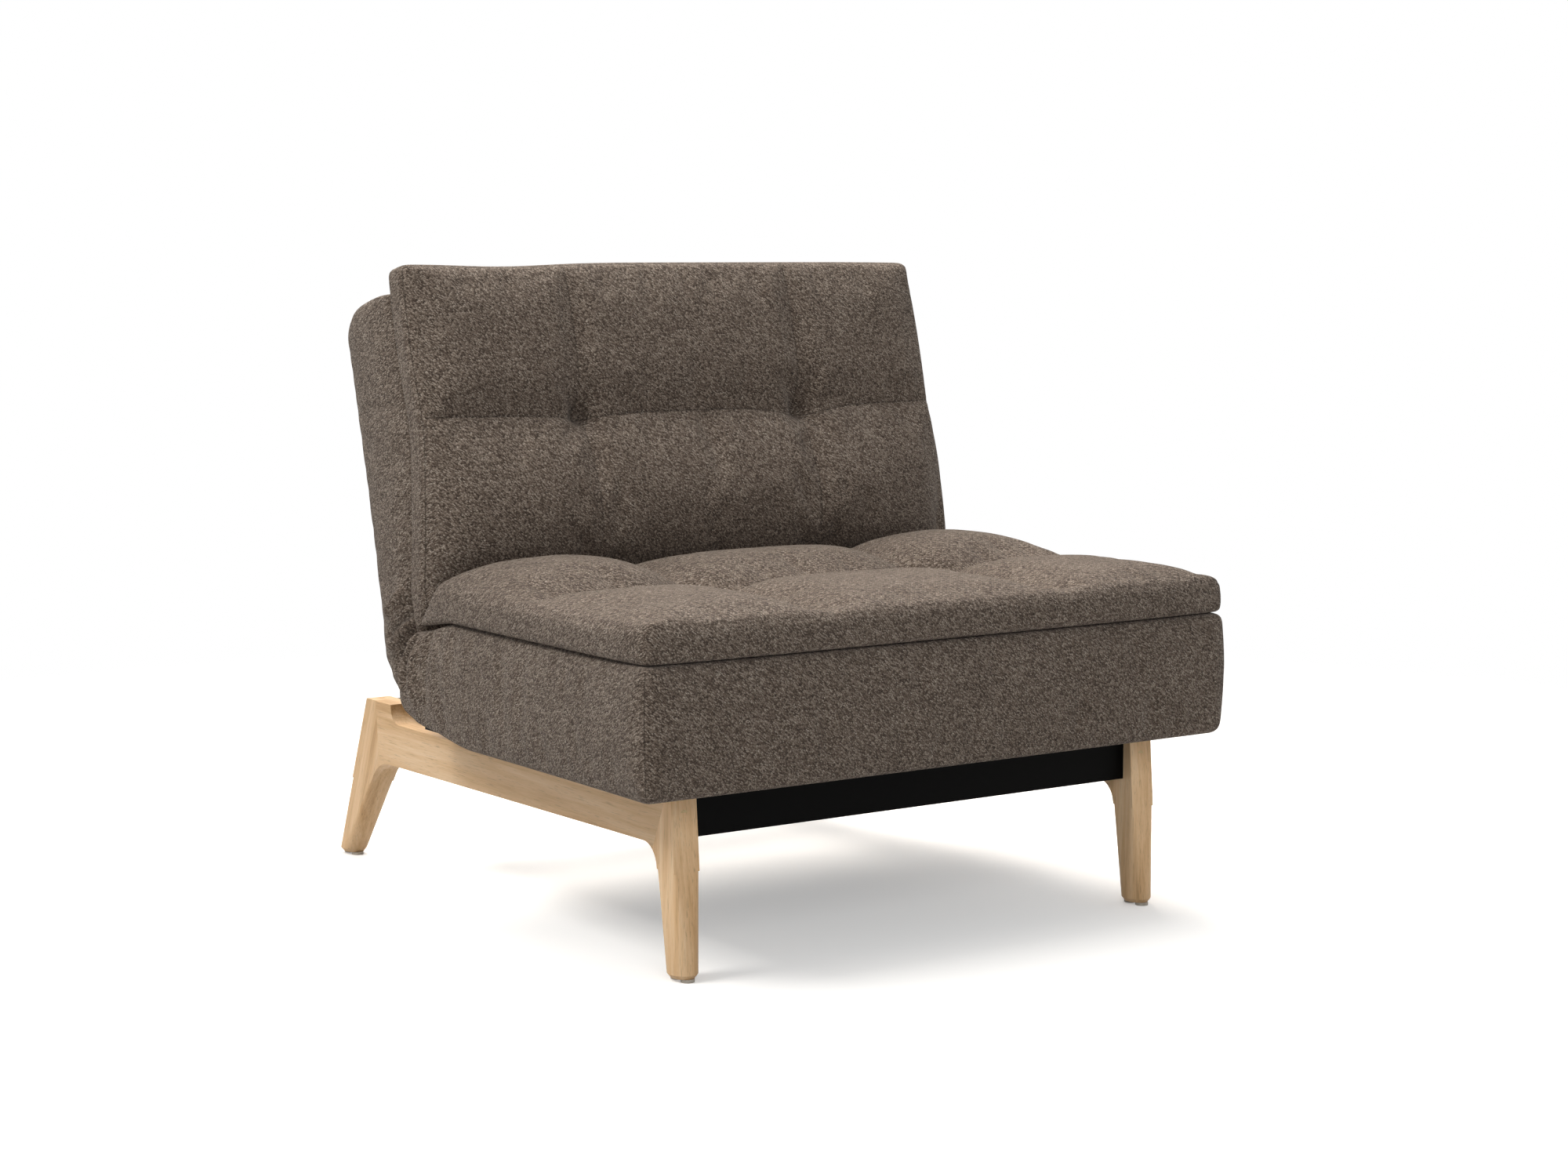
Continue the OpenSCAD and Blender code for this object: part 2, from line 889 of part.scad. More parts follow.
module back_lining() {
    color(cloth)
        box([-back_tube_x, back_frame_low, back_underside],
            [back_tube_x, back_frame_high, back_tube_z]);
}

// Top pads: a crowned sheet pulled down along its channels and at its tufts.
// Y runs from the free edge (0) to the crease (length), where the end slopes
// away under the crown.

pad_nx = 24;
pad_ny = 16;
pad_corner = 9;

function bump(t) = exp(-t * t);

// Share of the crown that is left at a place, 0 at the edges
function pad_fade(x, y, w, l) =
    max(0, min(1 - pow(abs(2 * x / w), 5), 1 - pow(abs(2 * y / l - 1), 5)));

// Height of the top sheet above the pad's edge
function pad_rise(x, y, w, l, crown, row, channel, tuft) =
    let (
        col = abs(abs(x) - tuft_x),
        fade = pad_fade(x, y, w, l)
    )
    crown * pow(fade, 0.6)
        - channel[0] * bump(col / channel[2]) * fade
        - channel[1] * bump((y - row) / channel[2]) * fade
        - tuft[0] * bump(norm([col, y - row]) / tuft[1]);

// Grid point in plan: corners pulled in, sides pinched at the row
function pad_plan(i, j, w, l, row, pinch) =
    let (
        a = 2 * i / pad_nx - 1,
        b = 2 * j / pad_ny - 1,
        y = l * (b + 1) / 2,
        pull = pow(a * b, 6)
    )
    [
        a * (w / 2 - pad_corner * pull - pinch * bump((y - row) / 60) * a * a),
        y - sign(b) * pad_corner * pull
    ];

// Ring of grid indices round the sheet
pad_ring = [
    for (i = [0:pad_nx - 1]) [i, 0],
    for (j = [0:pad_ny - 1]) [pad_nx, j],
    for (i = [pad_nx:-1:1]) [i, pad_ny],
    for (j = [pad_ny:-1:1]) [0, j]
];

// Side wall, from the top seam down: how far in, and how far below the edge
pad_wall = [[0, 9], [0.5, 26], [5, 38], [15, 43]];

// The whole pad sinks by sag(y) where the layer under it does, and the middle
// of its top swells by puff(y)
module pad_form(w, l, slope, crown, row, channel, tuft, pinch, sag, puff) {
    inset = 3;
    nr = len(pad_ring);
    deep = len(pad_wall);
    under = pad_wall[deep - 1];
    top = [
        for (j = [0:pad_ny])
            for (i = [0:pad_nx])
                let (p = pad_plan(i, j, w - 2 * inset, l - 2 * inset, row, pinch))
                [p.x, p.y + inset,
                 pad_rise(p.x, p.y + inset, w, l, crown, row, channel, tuft)
                     - sag(p.y + inset)
                     + puff(p.y + inset) * pow(pad_fade(p.x, p.y + inset, w, l), 0.6)]
    ];
    wall = [
        for (k = pad_wall)
            for (g = pad_ring)
                let (
                    p = pad_plan(g.x, g.y, w - 2 * k[0], l - 2 * k[0], row, pinch),
                    drop = k[1] * pad_edge / pad_wall[deep - 1][1],
                    y = p.y + k[0] + drop / tan(slope) * pow((p.y + k[0]) / l, 8)
                )
                [p.x, y, -drop - sag(y)]
    ];
    base = [
        for (j = [1:pad_ny - 1])
            for (i = [1:pad_nx - 1])
                let (
                    p = pad_plan(i, j, w - 2 * under[0], l - 2 * under[0], row, pinch),
                    y = p.y + under[0] + pad_edge / tan(slope) * pow((p.y + under[0]) / l, 8)
                )
                [p.x, y, -pad_edge - sag(y)]
    ];
    first = len(top);
    last = first + len(wall);
    low = first + (deep - 1) * nr;
    function under_at(i, j) =
        j == 0 ? low + i :
        i == pad_nx ? low + pad_nx + j :
        j == pad_ny ? low + pad_nx + pad_ny + pad_nx - i :
        i == 0 ? low + (nr - j) :
        last + (j - 1) * (pad_nx - 1) + i - 1;
    function at(i, j) = j * (pad_nx + 1) + i;
    polyhedron(
        points = concat(top, wall, base),
        faces = concat(
            [for (j = [0:pad_ny - 1]) for (i = [0:pad_nx - 1])
                [at(i, j), at(i, j + 1), at(i + 1, j + 1)]],
            [for (j = [0:pad_ny - 1]) for (i = [0:pad_nx - 1])
                [at(i, j), at(i + 1, j + 1), at(i + 1, j)]],
            [for (i = [0:nr - 1]) let (n = (i + 1) % nr)
                [at(pad_ring[i].x, pad_ring[i].y), at(pad_ring[n].x, pad_ring[n].y),
                 first + n]],
            [for (i = [0:nr - 1]) let (n = (i + 1) % nr)
                [at(pad_ring[i].x, pad_ring[i].y), first + n, first + i]],
            [for (k = [0:deep - 2]) for (i = [0:nr - 1])
                let (n = (i + 1) % nr, a = first + k * nr)
                [a + i, a + n, a + nr + n]],
            [for (k = [0:deep - 2]) for (i = [0:nr - 1])
                let (n = (i + 1) % nr, a = first + k * nr)
                [a + i, a + nr + n, a + nr + i]],
            [for (j = [0:pad_ny - 1]) for (i = [0:pad_nx - 1])
                [under_at(i, j), under_at(i + 1, j + 1), under_at(i, j + 1)]],
            [for (j = [0:pad_ny - 1]) for (i = [0:pad_nx - 1])
                [under_at(i, j), under_at(i + 1, j), under_at(i + 1, j + 1)]]
        )
    );
}

module seat_pad() {
    color(cloth)
        translate([0, 0, seat_pad_top])
            pad_form(seat_width, seat_end(seat_pad_top) - 1, seat_slope, seat_crown,
                     seat_row, seat_channel, seat_tuft, 0, function(y) 0,
                     function(y) 0);
}

module back_pad() {
    far = hinge_y + back_length + pad_overhang;
    l = far - back_end(back_pad_top - back_dip) - 1;
    color(cloth)
        translate([0, far, back_pad_top])
            mirror([0, 1, 0])
                pad_form(back_width, l, back_slope, back_crown, back_row, back_channel,
                         back_tuft, back_pinch, function(y) dip(far - y - hinge_y),
                         function(y) swelling(far - y - hinge_y));
}

// Ratchet hinges

function toward(angle, r) = [hinge_y + r * cos(angle), hinge_z + r * sin(angle)];
tangent = [cos(nose_angle - 90), sin(nose_angle - 90)];
pawl_pivot = toward(nose_angle, pawl_rise) + pawl_reach * tangent;
seat_arm_low = seat_tube_z + 1;
back_arm_low = back_tube_z + 1;
boss_r = 20;
pawl_boss_r = 12;

module seat_arm_outline() {
    polygon([
        [seat_arm_front, seat_arm_low],
        [seat_frame_rear, seat_arm_low],
        toward(-30, boss_r),
        toward(90, boss_r),
        pawl_pivot + [0, pawl_boss_r],
        pawl_pivot - [pawl_boss_r, 0],
        [seat_arm_front, seat_arm_low + tube - 2]
    ]);
    translate([hinge_y, hinge_z])
        circle(r = boss_r);
    translate(pawl_pivot)
        circle(r = pawl_boss_r);
}

module hinge_seat_arm(side) {
    color(zinc)
        on_side(side)
            across(seat_arm_x - arm_t, seat_arm_x)
                difference() {
                    seat_arm_outline();
                    translate([hinge_y, hinge_z])
                        circle(d = hinge_pin_d);
                    translate(pawl_pivot)
                        circle(d = pawl_pin_d);
                }
}

// A notch of the disc for the nose when the back has turned by angle.
// Its steep side holds the nose, and the other side leaves the release stroke.
module notch(turn) {
    slack = ratchet_r * sin(release_angle) + 1.6;
    translate([hinge_y, hinge_z])
        rotate(nose_angle + turn)
            translate([ratchet_r - notch_depth, -nose_w / 2 - slack])
                square([notch_depth + 2, nose_w + slack + 0.3]);
}

// Drawn in the raised pose, in which the notch at 0 faces the nose
module ratchet_disc() {
    difference() {
        translate([hinge_y, hinge_z])
            circle(r = ratchet_r, $fn = 72);
        notch(0);
        notch(lounge_angle);
        notch(fold_angle);
    }
}

module back_arm_outline() {
    difference() {
        union() {
            polygon([
                toward(-100, ratchet_r - notch_depth - 4),
                [back_frame_low, back_arm_low],
                [back_arm_end, back_arm_low],
                [back_arm_end, back_arm_low + tube - 2],
                toward(60, ratchet_r - 4)
            ]);
            translate([hinge_y, hinge_z])
                rotate(-fold_angle)
                    translate([-hinge_y, -hinge_z])
                        ratchet_disc();
        }
        translate([hinge_y, hinge_z])
            circle(d = hinge_pin_d + 2 * running);
    }
}

module hinge_back_arm(side) {
    color(zinc)
        on_side(side)
            across(back_tube_x, back_arm_x)
                back_arm_outline();
}

pin_head = 4;

module hinge_pin(side) {
    head_x = back_tube_x - arm_gap / 2;
    color(zinc)
        on_side(side) {
            rod_x(head_x, seat_arm_x, hinge_y, hinge_z, hinge_pin_d);
            rod_x(seat_arm_x, seat_arm_x + pin_head, hinge_y, hinge_z, hinge_pin_d + 8);
            rod_x(head_x - pin_head + 1, head_x, hinge_y, hinge_z, hinge_pin_d + 6);
        }
}

module hinge_washers() {
    color(plastic)
        both_sides()
            difference() {
                rod_x(back_arm_x, seat_arm_x - arm_t, hinge_y, hinge_z, hinge_pin_d + 14);
                rod_x(back_arm_x - 1, seat_arm_x, hinge_y, hinge_z, hinge_pin_d);
            }
}

// The pawl hangs lifted off the disc, and swings by pawl_swing into a notch
module pawl_outline() {
    difference() {
        translate(pawl_pivot)
            rotate(-pawl_swing)
                translate(-pawl_pivot)
                    translate([hinge_y, hinge_z])
                        rotate(nose_angle) {
                            translate([pawl_rise - pawl_bar / 2, -pawl_reach])
                                square([pawl_bar, pawl_reach + nose_w / 2]);
                            polygon([
                                [ratchet_r - notch_depth + nose_gap, -nose_w / 2],
                                [pawl_rise, -nose_w / 2],
                                [pawl_rise, nose_w / 2],
                                [ratchet_r - 0.5, nose_w / 2],
                                [ratchet_r - notch_depth + nose_gap, nose_w / 2 - nose_taper]
                            ]);
                            translate([pawl_rise, -pawl_reach])
                                circle(r = pawl_boss_r - 3);
                        }
        translate(pawl_pivot)
            circle(d = pawl_pin_d + 2 * running);
    }
}

module hinge_pawl(side) {
    color(zinc)
        on_side(side)
            across(back_tube_x + 0.2, back_arm_x - 0.2)
                pawl_outline();
}

module pawl_pins() {
    color(zinc)
        both_sides() {
            rod_x(back_tube_x, seat_arm_x, pawl_pivot.x, pawl_pivot.y, pawl_pin_d);
            rod_x(back_tube_x - 2, back_tube_x, pawl_pivot.x, pawl_pivot.y, pawl_pin_d + 5);
        }
}

placed() front_leg(left);  // front_leg_left
placed() front_leg(right);  // front_leg_right
placed() rear_leg(left);  // rear_leg_left
placed() rear_leg(right);  // rear_leg_right
placed() side_rail(left);  // side_rail_left
placed() side_rail(right);  // side_rail_right
placed() joint_dowels();
placed() floor_glides();
placed() front_cross_rail();
placed() rear_cross_rail();
placed() end_plate(left, front_rail_y, front_rail_z, front_bolt_spots, 0);  // front_end_plate_left
placed() end_plate(right, front_rail_y, front_rail_z, front_bolt_spots, 0);  // front_end_plate_right
placed() end_plate(left, rear_rail_y, rear_rail_z, rear_bolt_spots, rear_plate_ahead);  // rear_end_plate_left
placed() end_plate(right, rear_rail_y, rear_rail_z, rear_bolt_spots, rear_plate_ahead);  // rear_end_plate_right
placed() frame_bolts();
placed() threaded_inserts();
placed() seat_bracket(left);  // seat_bracket_left
placed() seat_bracket(right);  // seat_bracket_right
placed() bracket_bolts();
placed() seat_bolts();
placed() seat_front_tube();
placed() seat_bearer_tube();
placed() seat_rear_tube();
placed() seat_side_tube(left);  // seat_side_tube_left
placed() seat_side_tube(right);  // seat_side_tube_right
placed() seat_slat(0);  // seat_slat_1
placed() seat_slat(1);  // seat_slat_2
placed() seat_slat(2);  // seat_slat_3
placed() seat_slat(3);  // seat_slat_4
placed() seat_slat_holders();
placed() seat_lining();
placed() seat_spring_core();
placed() seat_base_cushion();
placed() seat_pad();
raised() back_cross_tube(back_frame_low);  // back_lower_tube
raised() back_cross_tube(back_frame_high - tube);  // back_upper_tube
raised() back_side_tube(left);  // back_side_tube_left
raised() back_side_tube(right);  // back_side_tube_right
raised() back_slat(0);  // back_slat_1
raised() back_slat(1);  // back_slat_2
raised() back_slat(2);  // back_slat_3
raised() back_slat(3);  // back_slat_4
raised() back_slat_holders();
raised() back_lining();
raised() back_spring_core();
raised() back_base_cushion();
raised() back_pad();
placed() hinge_seat_arm(left);  // hinge_seat_arm_left
placed() hinge_seat_arm(right);  // hinge_seat_arm_right
raised() hinge_back_arm(left);  // hinge_back_arm_left
raised() hinge_back_arm(right);  // hinge_back_arm_right
placed() hinge_pin(left);  // hinge_pin_left
placed() hinge_pin(right);  // hinge_pin_right
placed() hinge_washers();
placed() hinge_pawl(left);  // hinge_pawl_left
placed() hinge_pawl(right);  // hinge_pawl_right
placed() pawl_pins();
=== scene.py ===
# %% [markdown]
# # Fold-down sleeper chair: the looks
# An armless lounge chair whose back lets down flat into a bed. The frame, hinges and slats come from the
# imported model, which is loaded here. The dressed chair may not outgrow it. This script makes the
# upholstery, rounds the oak and gives every surface its finish.

# %% Load the frame
import math

import bmesh
import bpy
import numpy as np
from mathutils import Matrix, Vector, noise


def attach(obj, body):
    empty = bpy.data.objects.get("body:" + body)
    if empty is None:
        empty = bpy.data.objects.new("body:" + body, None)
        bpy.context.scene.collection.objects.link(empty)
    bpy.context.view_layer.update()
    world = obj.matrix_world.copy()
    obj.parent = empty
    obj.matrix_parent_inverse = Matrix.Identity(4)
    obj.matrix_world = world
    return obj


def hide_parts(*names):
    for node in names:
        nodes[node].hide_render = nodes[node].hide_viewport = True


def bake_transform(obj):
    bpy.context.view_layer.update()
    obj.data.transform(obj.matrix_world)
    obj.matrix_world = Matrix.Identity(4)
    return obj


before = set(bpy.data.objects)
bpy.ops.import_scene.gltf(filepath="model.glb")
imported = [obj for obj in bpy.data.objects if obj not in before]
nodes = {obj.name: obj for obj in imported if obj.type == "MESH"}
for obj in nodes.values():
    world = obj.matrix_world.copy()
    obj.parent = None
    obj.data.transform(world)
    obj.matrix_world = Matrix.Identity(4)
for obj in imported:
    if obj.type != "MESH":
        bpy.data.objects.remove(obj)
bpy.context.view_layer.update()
scene = bpy.context.scene
scene.view_settings.view_transform = "Standard"

# %% [markdown]
# ## Camera
# The camera stands left of the front and a little above the seat, where the photograph was taken from.
# It could be placed by eye, but then no outline would match. Its place and lens were fitted to the corners
# of the seat, legs and rails instead.

# %% Camera
CAMERA_PLACE = (-2.1458, -3.2328, 0.8619)
CAMERA_TILT = 83.3
CAMERA_TURN = -34.5
LENS = 65.67
SENSOR = 36.0

lens = bpy.data.cameras.new("camera")
lens.lens = LENS
lens.sensor_width = SENSOR
camera = bpy.data.objects.new("camera", lens)
camera.location = CAMERA_PLACE
camera.rotation_euler = (math.radians(CAMERA_TILT), 0, math.radians(CAMERA_TURN))
scene.collection.objects.link(camera)
scene.camera = camera
print("camera at", CAMERA_PLACE)

# %% [markdown]
# ## Colours and shader nodes
# Colours are written as sRGB codes, as a paint chart gives them, and Blender mixes light in linear values.
# One function turns the one into the other, and one more adds a shader node with all that belongs to it.

# %% Colours and shader nodes
def to_linear(code):
    """Linear colour of an sRGB hex code."""
    shares = [int(code[i:i + 2], 16) / 255 for i in (1, 3, 5)]
    return [s / 12.92 if s <= 0.04045 else ((s + 0.055) / 1.055) ** 2.4 for s in shares] + [1.0]


def add_node(tree, kind, settings=None, links=None, stops=()):
    """Adds a node, sets its properties or sockets, links its inputs, and fills a ramp with its colours."""
    node = tree.nodes.new(kind)
    for key, value in (settings or {}).items():
        if isinstance(key, str) and hasattr(node, key):
            setattr(node, key, value)
        else:
            node.inputs[key].default_value = value
    for key, source in (links or {}).items():
        tree.links.new(source, node.inputs[key])
    for _ in stops[2:]:
        node.color_ramp.elements.new(0.5)
    for element, (place, code) in zip(node.color_ramp.elements if stops else (), stops):
        element.position = place
        element.color = to_linear(code)
    return node


print("middle grey is", round(to_linear("#808080")[0], 3), "in linear values")

# %% [markdown]
# ## Sky
# A product studio is a pale room, so soft light comes from all round, and more of it from the walls than
# from the ceiling. The sky gives that light, a little brighter at the horizon than overhead. The camera
# sees plain white instead.

# %% Sky
SKY_HORIZON = 0.57
SKY_OVERHEAD = 0.36

world = bpy.data.worlds.new("studio")
world.use_nodes = True
sky = world.node_tree
sky.nodes.clear()
rays = add_node(sky, "ShaderNodeLightPath")
seen = add_node(sky, "ShaderNodeMath", {"operation": "MAXIMUM"},
                {0: rays.outputs["Is Camera Ray"], 1: rays.outputs["Is Transmission Ray"]})
way = add_node(sky, "ShaderNodeTexCoord")
axes = add_node(sky, "ShaderNodeSeparateXYZ", None, {0: way.outputs["Generated"]})
steep = add_node(sky, "ShaderNodeMath", {"operation": "ABSOLUTE"}, {0: axes.outputs["Z"]})
level = add_node(sky, "ShaderNodeMapRange", {"To Min": SKY_HORIZON, "To Max": SKY_OVERHEAD},
                 {"Value": steep.outputs[0]})
room = add_node(sky, "ShaderNodeBackground", {"Color": (1, 1, 1, 1)}, {"Strength": level.outputs[0]})
white = add_node(sky, "ShaderNodeBackground", {"Color": (1, 1, 1, 1), "Strength": 1.0})
shown = add_node(sky, "ShaderNodeMixShader", None,
                 {0: seen.outputs[0], 1: room.outputs[0], 2: white.outputs[0]})
add_node(sky, "ShaderNodeOutputWorld", None, {"Surface": shown.outputs[0]})
scene.world = world
print("sky from", SKY_OVERHEAD, "overhead to", SKY_HORIZON, "at the horizon")

# %% [markdown]
# ## Lamps
# The photograph shows a bright seat, a darker front, a lit left side and a small soft shadow under the
# chair. One lamp would throw one long shadow. Four soft boxes do better: overhead, at the rear, at the left
# and a weak one in front. Their shadows overlap only under the chair, so only there the floor stays dark.

# %% Lamps
LAMPS = [
    # name, place, aim, size of the box, power, tint
    ("overhead", (0.1, 0.2, 3.2), (0, 0, 0), 2.4, 36, "#FFF8F0"),
    ("rear", (0.9, 1.7, 2.8), (0, 0.1, 0.3), 1.6, 98, "#FFF6EC"),
    ("left", (-2.5, 0.2, 3.0), (0, 0, 0.3), 1.2, 66, "#FFFCF8"),
    ("front", (-1.2, -3.2, 2.2), (0, 0, 0.3), 1.4, 19, "#FFFFFF"),
]


def add_lamp(name, place, aim, size, power, tint):
    """Square soft box that faces a point."""
    light = bpy.data.lights.new(name, "AREA")
    light.color = to_linear(tint)[:3]
    light.size = size
    light.energy = power
    lamp = bpy.data.objects.new(name, light)
    lamp.location = place
    lamp.rotation_euler = (Vector(aim) - Vector(place)).to_track_quat("-Z", "Y").to_euler()
    scene.collection.objects.link(lamp)


for values in LAMPS:
    add_lamp(*values)
print("lamps", [values[0] for values in LAMPS])

# %% [markdown]
# ## Floor
# The floor is a sheet of matt white paper that runs out into the white of the room, so its far part is
# clear. A weak glow lifts its lit part to plain white for the camera. To light that bounces on to the
# chair it is greyer and has no glow, or the chair's underside would be lit as strongly as its top.

# %% Floor
FLOOR_HALF = 6.0
FLOOR_COLOUR = "#FBFBFA"
FLOOR_BOUNCE = "#BCBCBB"
FLOOR_GLOW = 0.32
FLOOR_CLEAR = (1.0, 2.4)
FLOOR_ROUGHNESS = 0.9
FLOOR_GLOSS = 0.1

sheet = bmesh.new()
bmesh.ops.create_grid(sheet, x_segments=2, y_segments=2, size=FLOOR_HALF)
floor_mesh = bpy.data.meshes.new("floor")
sheet.to_mesh(floor_mesh)
sheet.free()
floor = bpy.data.objects.new("floor", floor_mesh)
scene.collection.objects.link(floor)
paper = bpy.data.materials.new("matt_white_paper")
paper.use_nodes = True
tree = paper.node_tree
shader = tree.nodes["Principled BSDF"]
shader.inputs["Roughness"].default_value = FLOOR_ROUGHNESS
shader.inputs["Specular IOR Level"].default_value = FLOOR_GLOSS
shader.inputs["Emission Color"].default_value = (1, 1, 1, 1)
bounced = add_node(tree, "ShaderNodeLightPath").outputs["Is Diffuse Ray"]
glow = add_node(tree, "ShaderNodeMapRange", {"To Min": FLOOR_GLOW, "To Max": 0.0}, {"Value": bounced})
tree.links.new(glow.outputs[0], shader.inputs["Emission Strength"])
tone = add_node(tree, "ShaderNodeMix", {"data_type": "RGBA", 6: to_linear(FLOOR_COLOUR),
                                        7: to_linear(FLOOR_BOUNCE)}, {0: bounced})
tree.links.new(tone.outputs[2], shader.inputs["Base Color"])
spot = add_node(tree, "ShaderNodeTexCoord")
away = add_node(tree, "ShaderNodeVectorMath", {"operation": "LENGTH"}, {0: spot.outputs["Object"]})
solid = add_node(tree, "ShaderNodeMapRange", {"From Min": FLOOR_CLEAR[0], "From Max": FLOOR_CLEAR[1],
                                              "To Min": 1.0, "To Max": 0.0},
                 {"Value": away.outputs["Value"]})
tree.links.new(solid.outputs[0], shader.inputs["Alpha"])
floor_mesh.materials.append(paper)
print("floor solid to", FLOOR_CLEAR[0], "m and clear from", FLOOR_CLEAR[1], "m")

# %% [markdown]
# ## Woven cover
# The cover is a thick melange twill of grey and brown yarn with a soft nap. An image could give its weave,
# but it would blur close up. Here stretched Voronoi cells stand for the yarn floats: each has a shade of
# its own and is raised in its middle. Fine noise gives the nap, and coarse noise the clouds that dyed
# yarn makes. The real floats are about half as long, and too fine to show in the picture, so they are
# drawn as coarse as they need to be. Each point of a cover knows how far it lies from a seam or a sharp
# crease, and shade is painted into the cloth's colour there, where it folds in on itself.

# %% Empty material
def material(name):
    """Empty material with a Principled shader, and the material's tree and shader."""
    made = bpy.data.materials.new(name)
    made.use_nodes = True
    return made, made.node_tree, made.node_tree.nodes["Principled BSDF"]


print("materials so far", len(bpy.data.materials))

# %% Woven cover
YARN_LENGTH = 0.0028
YARN_WIDTH = 0.0014
YARN_RANDOMNESS = 0.85
TWILL_TURN = 38
NAP_PER_METRE = 900.0
CLOUD_SIZE = 0.06
SHADE_SHARE = 0.55
CLOUD_SHARE = 0.12
NAP_SHARE = 0.35
CLOTH_STOPS = [(0.0, "#2A221D"), (0.28, "#574B42"), (0.52, "#74675C"), (0.78, "#8F8276"), (1.0, "#C2B7AA")]
# Painted shade on the cloth at seams, borders and fold valleys: the darkening factor for each kind of line,
# and the lengths over which it fades in.
SEAM_PAINTED_SHADES = (0.64, 0.68, 0.55)
SEAM_HALF = (0.0004, 0.0019)
WEAVE_RELIEF = 0.0012


def woven_ground(tree, place):
    """Colour of the cloth, and its height, from the yarn floats, the nap and the clouds."""
    turned = add_node(tree, "ShaderNodeMapping", {"Rotation": (0, 0, math.radians(TWILL_TURN))},
                      {"Vector": place.outputs["UV"]})
    floats = add_node(tree, "ShaderNodeMapping", {"Scale": (1 / YARN_LENGTH, 1 / YARN_WIDTH, 1)},
                      {"Vector": turned.outputs[0]})
    yarn = add_node(tree, "ShaderNodeTexVoronoi",
                    {"voronoi_dimensions": "2D", "Scale": 1.0, "Randomness": YARN_RANDOMNESS},
                    {"Vector": floats.outputs[0]})
    shade = add_node(tree, "ShaderNodeSeparateColor", None, {"Color": yarn.outputs["Color"]})
    nap = add_node(tree, "ShaderNodeTexNoise", {"Scale": NAP_PER_METRE, "Detail": 3.0, "Roughness": 0.7},
                   {"Vector": place.outputs["Object"]})
    cloud = add_node(tree, "ShaderNodeTexNoise", {"Scale": 1 / CLOUD_SIZE, "Detail": 2.0},
                     {"Vector": place.outputs["Object"]})
    mixed = add_node(tree, "ShaderNodeMath", {"operation": "MULTIPLY_ADD", 1: SHADE_SHARE},
                     {0: shade.outputs[0], 2: nap.outputs["Fac"]})
    mixed = add_node(tree, "ShaderNodeMath", {"operation": "MULTIPLY_ADD", 1: CLOUD_SHARE},
                     {0: cloud.outputs["Fac"], 2: mixed.outputs[0]})
    spread = add_node(tree, "ShaderNodeMapRange", {"From Min": 0.40, "From Max": 1.25},
                      {"Value": mixed.outputs[0]})
    ground = add_node(tree, "ShaderNodeValToRGB", None, {"Fac": spread.outputs[0]}, CLOTH_STOPS)
    gap = add_node(tree, "ShaderNodeMapRange",
                   {"From Min": 0.25, "From Max": 0.75, "To Min": 1.0, "To Max": 0.42},
                   {"Value": yarn.outputs["Distance"]})
    colour = add_node(tree, "ShaderNodeMix", {"data_type": "RGBA", "blend_type": "MULTIPLY", 0: 1.0},
                      {6: ground.outputs[0], 7: gap.outputs[0]})
    relief = add_node(tree, "ShaderNodeMath", {"operation": "MULTIPLY_ADD", 1: NAP_SHARE},
                      {0: nap.outputs["Fac"], 2: gap.outputs[0]})
    return colour.outputs[2], relief.outputs[0]


def paint_seam_shade(tree, colour):
    """Paints shade into the cloth's colour at the three kinds of line: across the pads, along them, and at
    edges and creases.
    """
    marks = add_node(tree, "ShaderNodeAttribute", {"attribute_name": "seams"})
    lengths = add_node(tree, "ShaderNodeSeparateXYZ", None, {0: marks.outputs["Vector"]})
    for axis, shade in enumerate(SEAM_PAINTED_SHADES):
        away = add_node(tree, "ShaderNodeMath", {"operation": "ABSOLUTE"}, {0: lengths.outputs[axis]})
        line = add_node(tree, "ShaderNodeMapRange",
                        {"interpolation_type": "SMOOTHSTEP", "From Min": SEAM_HALF[0],
                         "From Max": SEAM_HALF[1], "To Min": shade, "To Max": 1.0},
                        {"Value": away.outputs[0]})
        # Painted shade along the line, multiplied into the cloth's colour.
        sewn = add_node(tree, "ShaderNodeMix", {"data_type": "RGBA", "blend_type": "MULTIPLY", 0: 1.0},
                        {6: colour, 7: line.outputs[0]})
        colour = sewn.outputs[2]
    return colour


def woven_cloth(name):
    """Melange twill: no gloss, a thin sheen from its nap, and the relief of its floats."""
    made, tree, shader = material(name)
    colour, relief = woven_ground(tree, add_node(tree, "ShaderNodeTexCoord"))
    tree.links.new(paint_seam_shade(tree, colour), shader.inputs["Base Color"])
    shader.inputs["Roughness"].default_value = 0.95
    shader.inputs["Specular IOR Level"].default_value = 0.15
    shader.inputs["Sheen Weight"].default_value = 0.08
    shader.inputs["Sheen Roughness"].default_value = 0.5
    bump = add_node(tree, "ShaderNodeBump", {"Strength": 0.8, "Distance": WEAVE_RELIEF}, {"Height": relief})
    tree.links.new(bump.outputs[0], shader.inputs["Normal"])
    return made


COVER = woven_cloth("melange_twill_cover")
print(COVER.name, "nodes", len(COVER.node_tree.nodes))
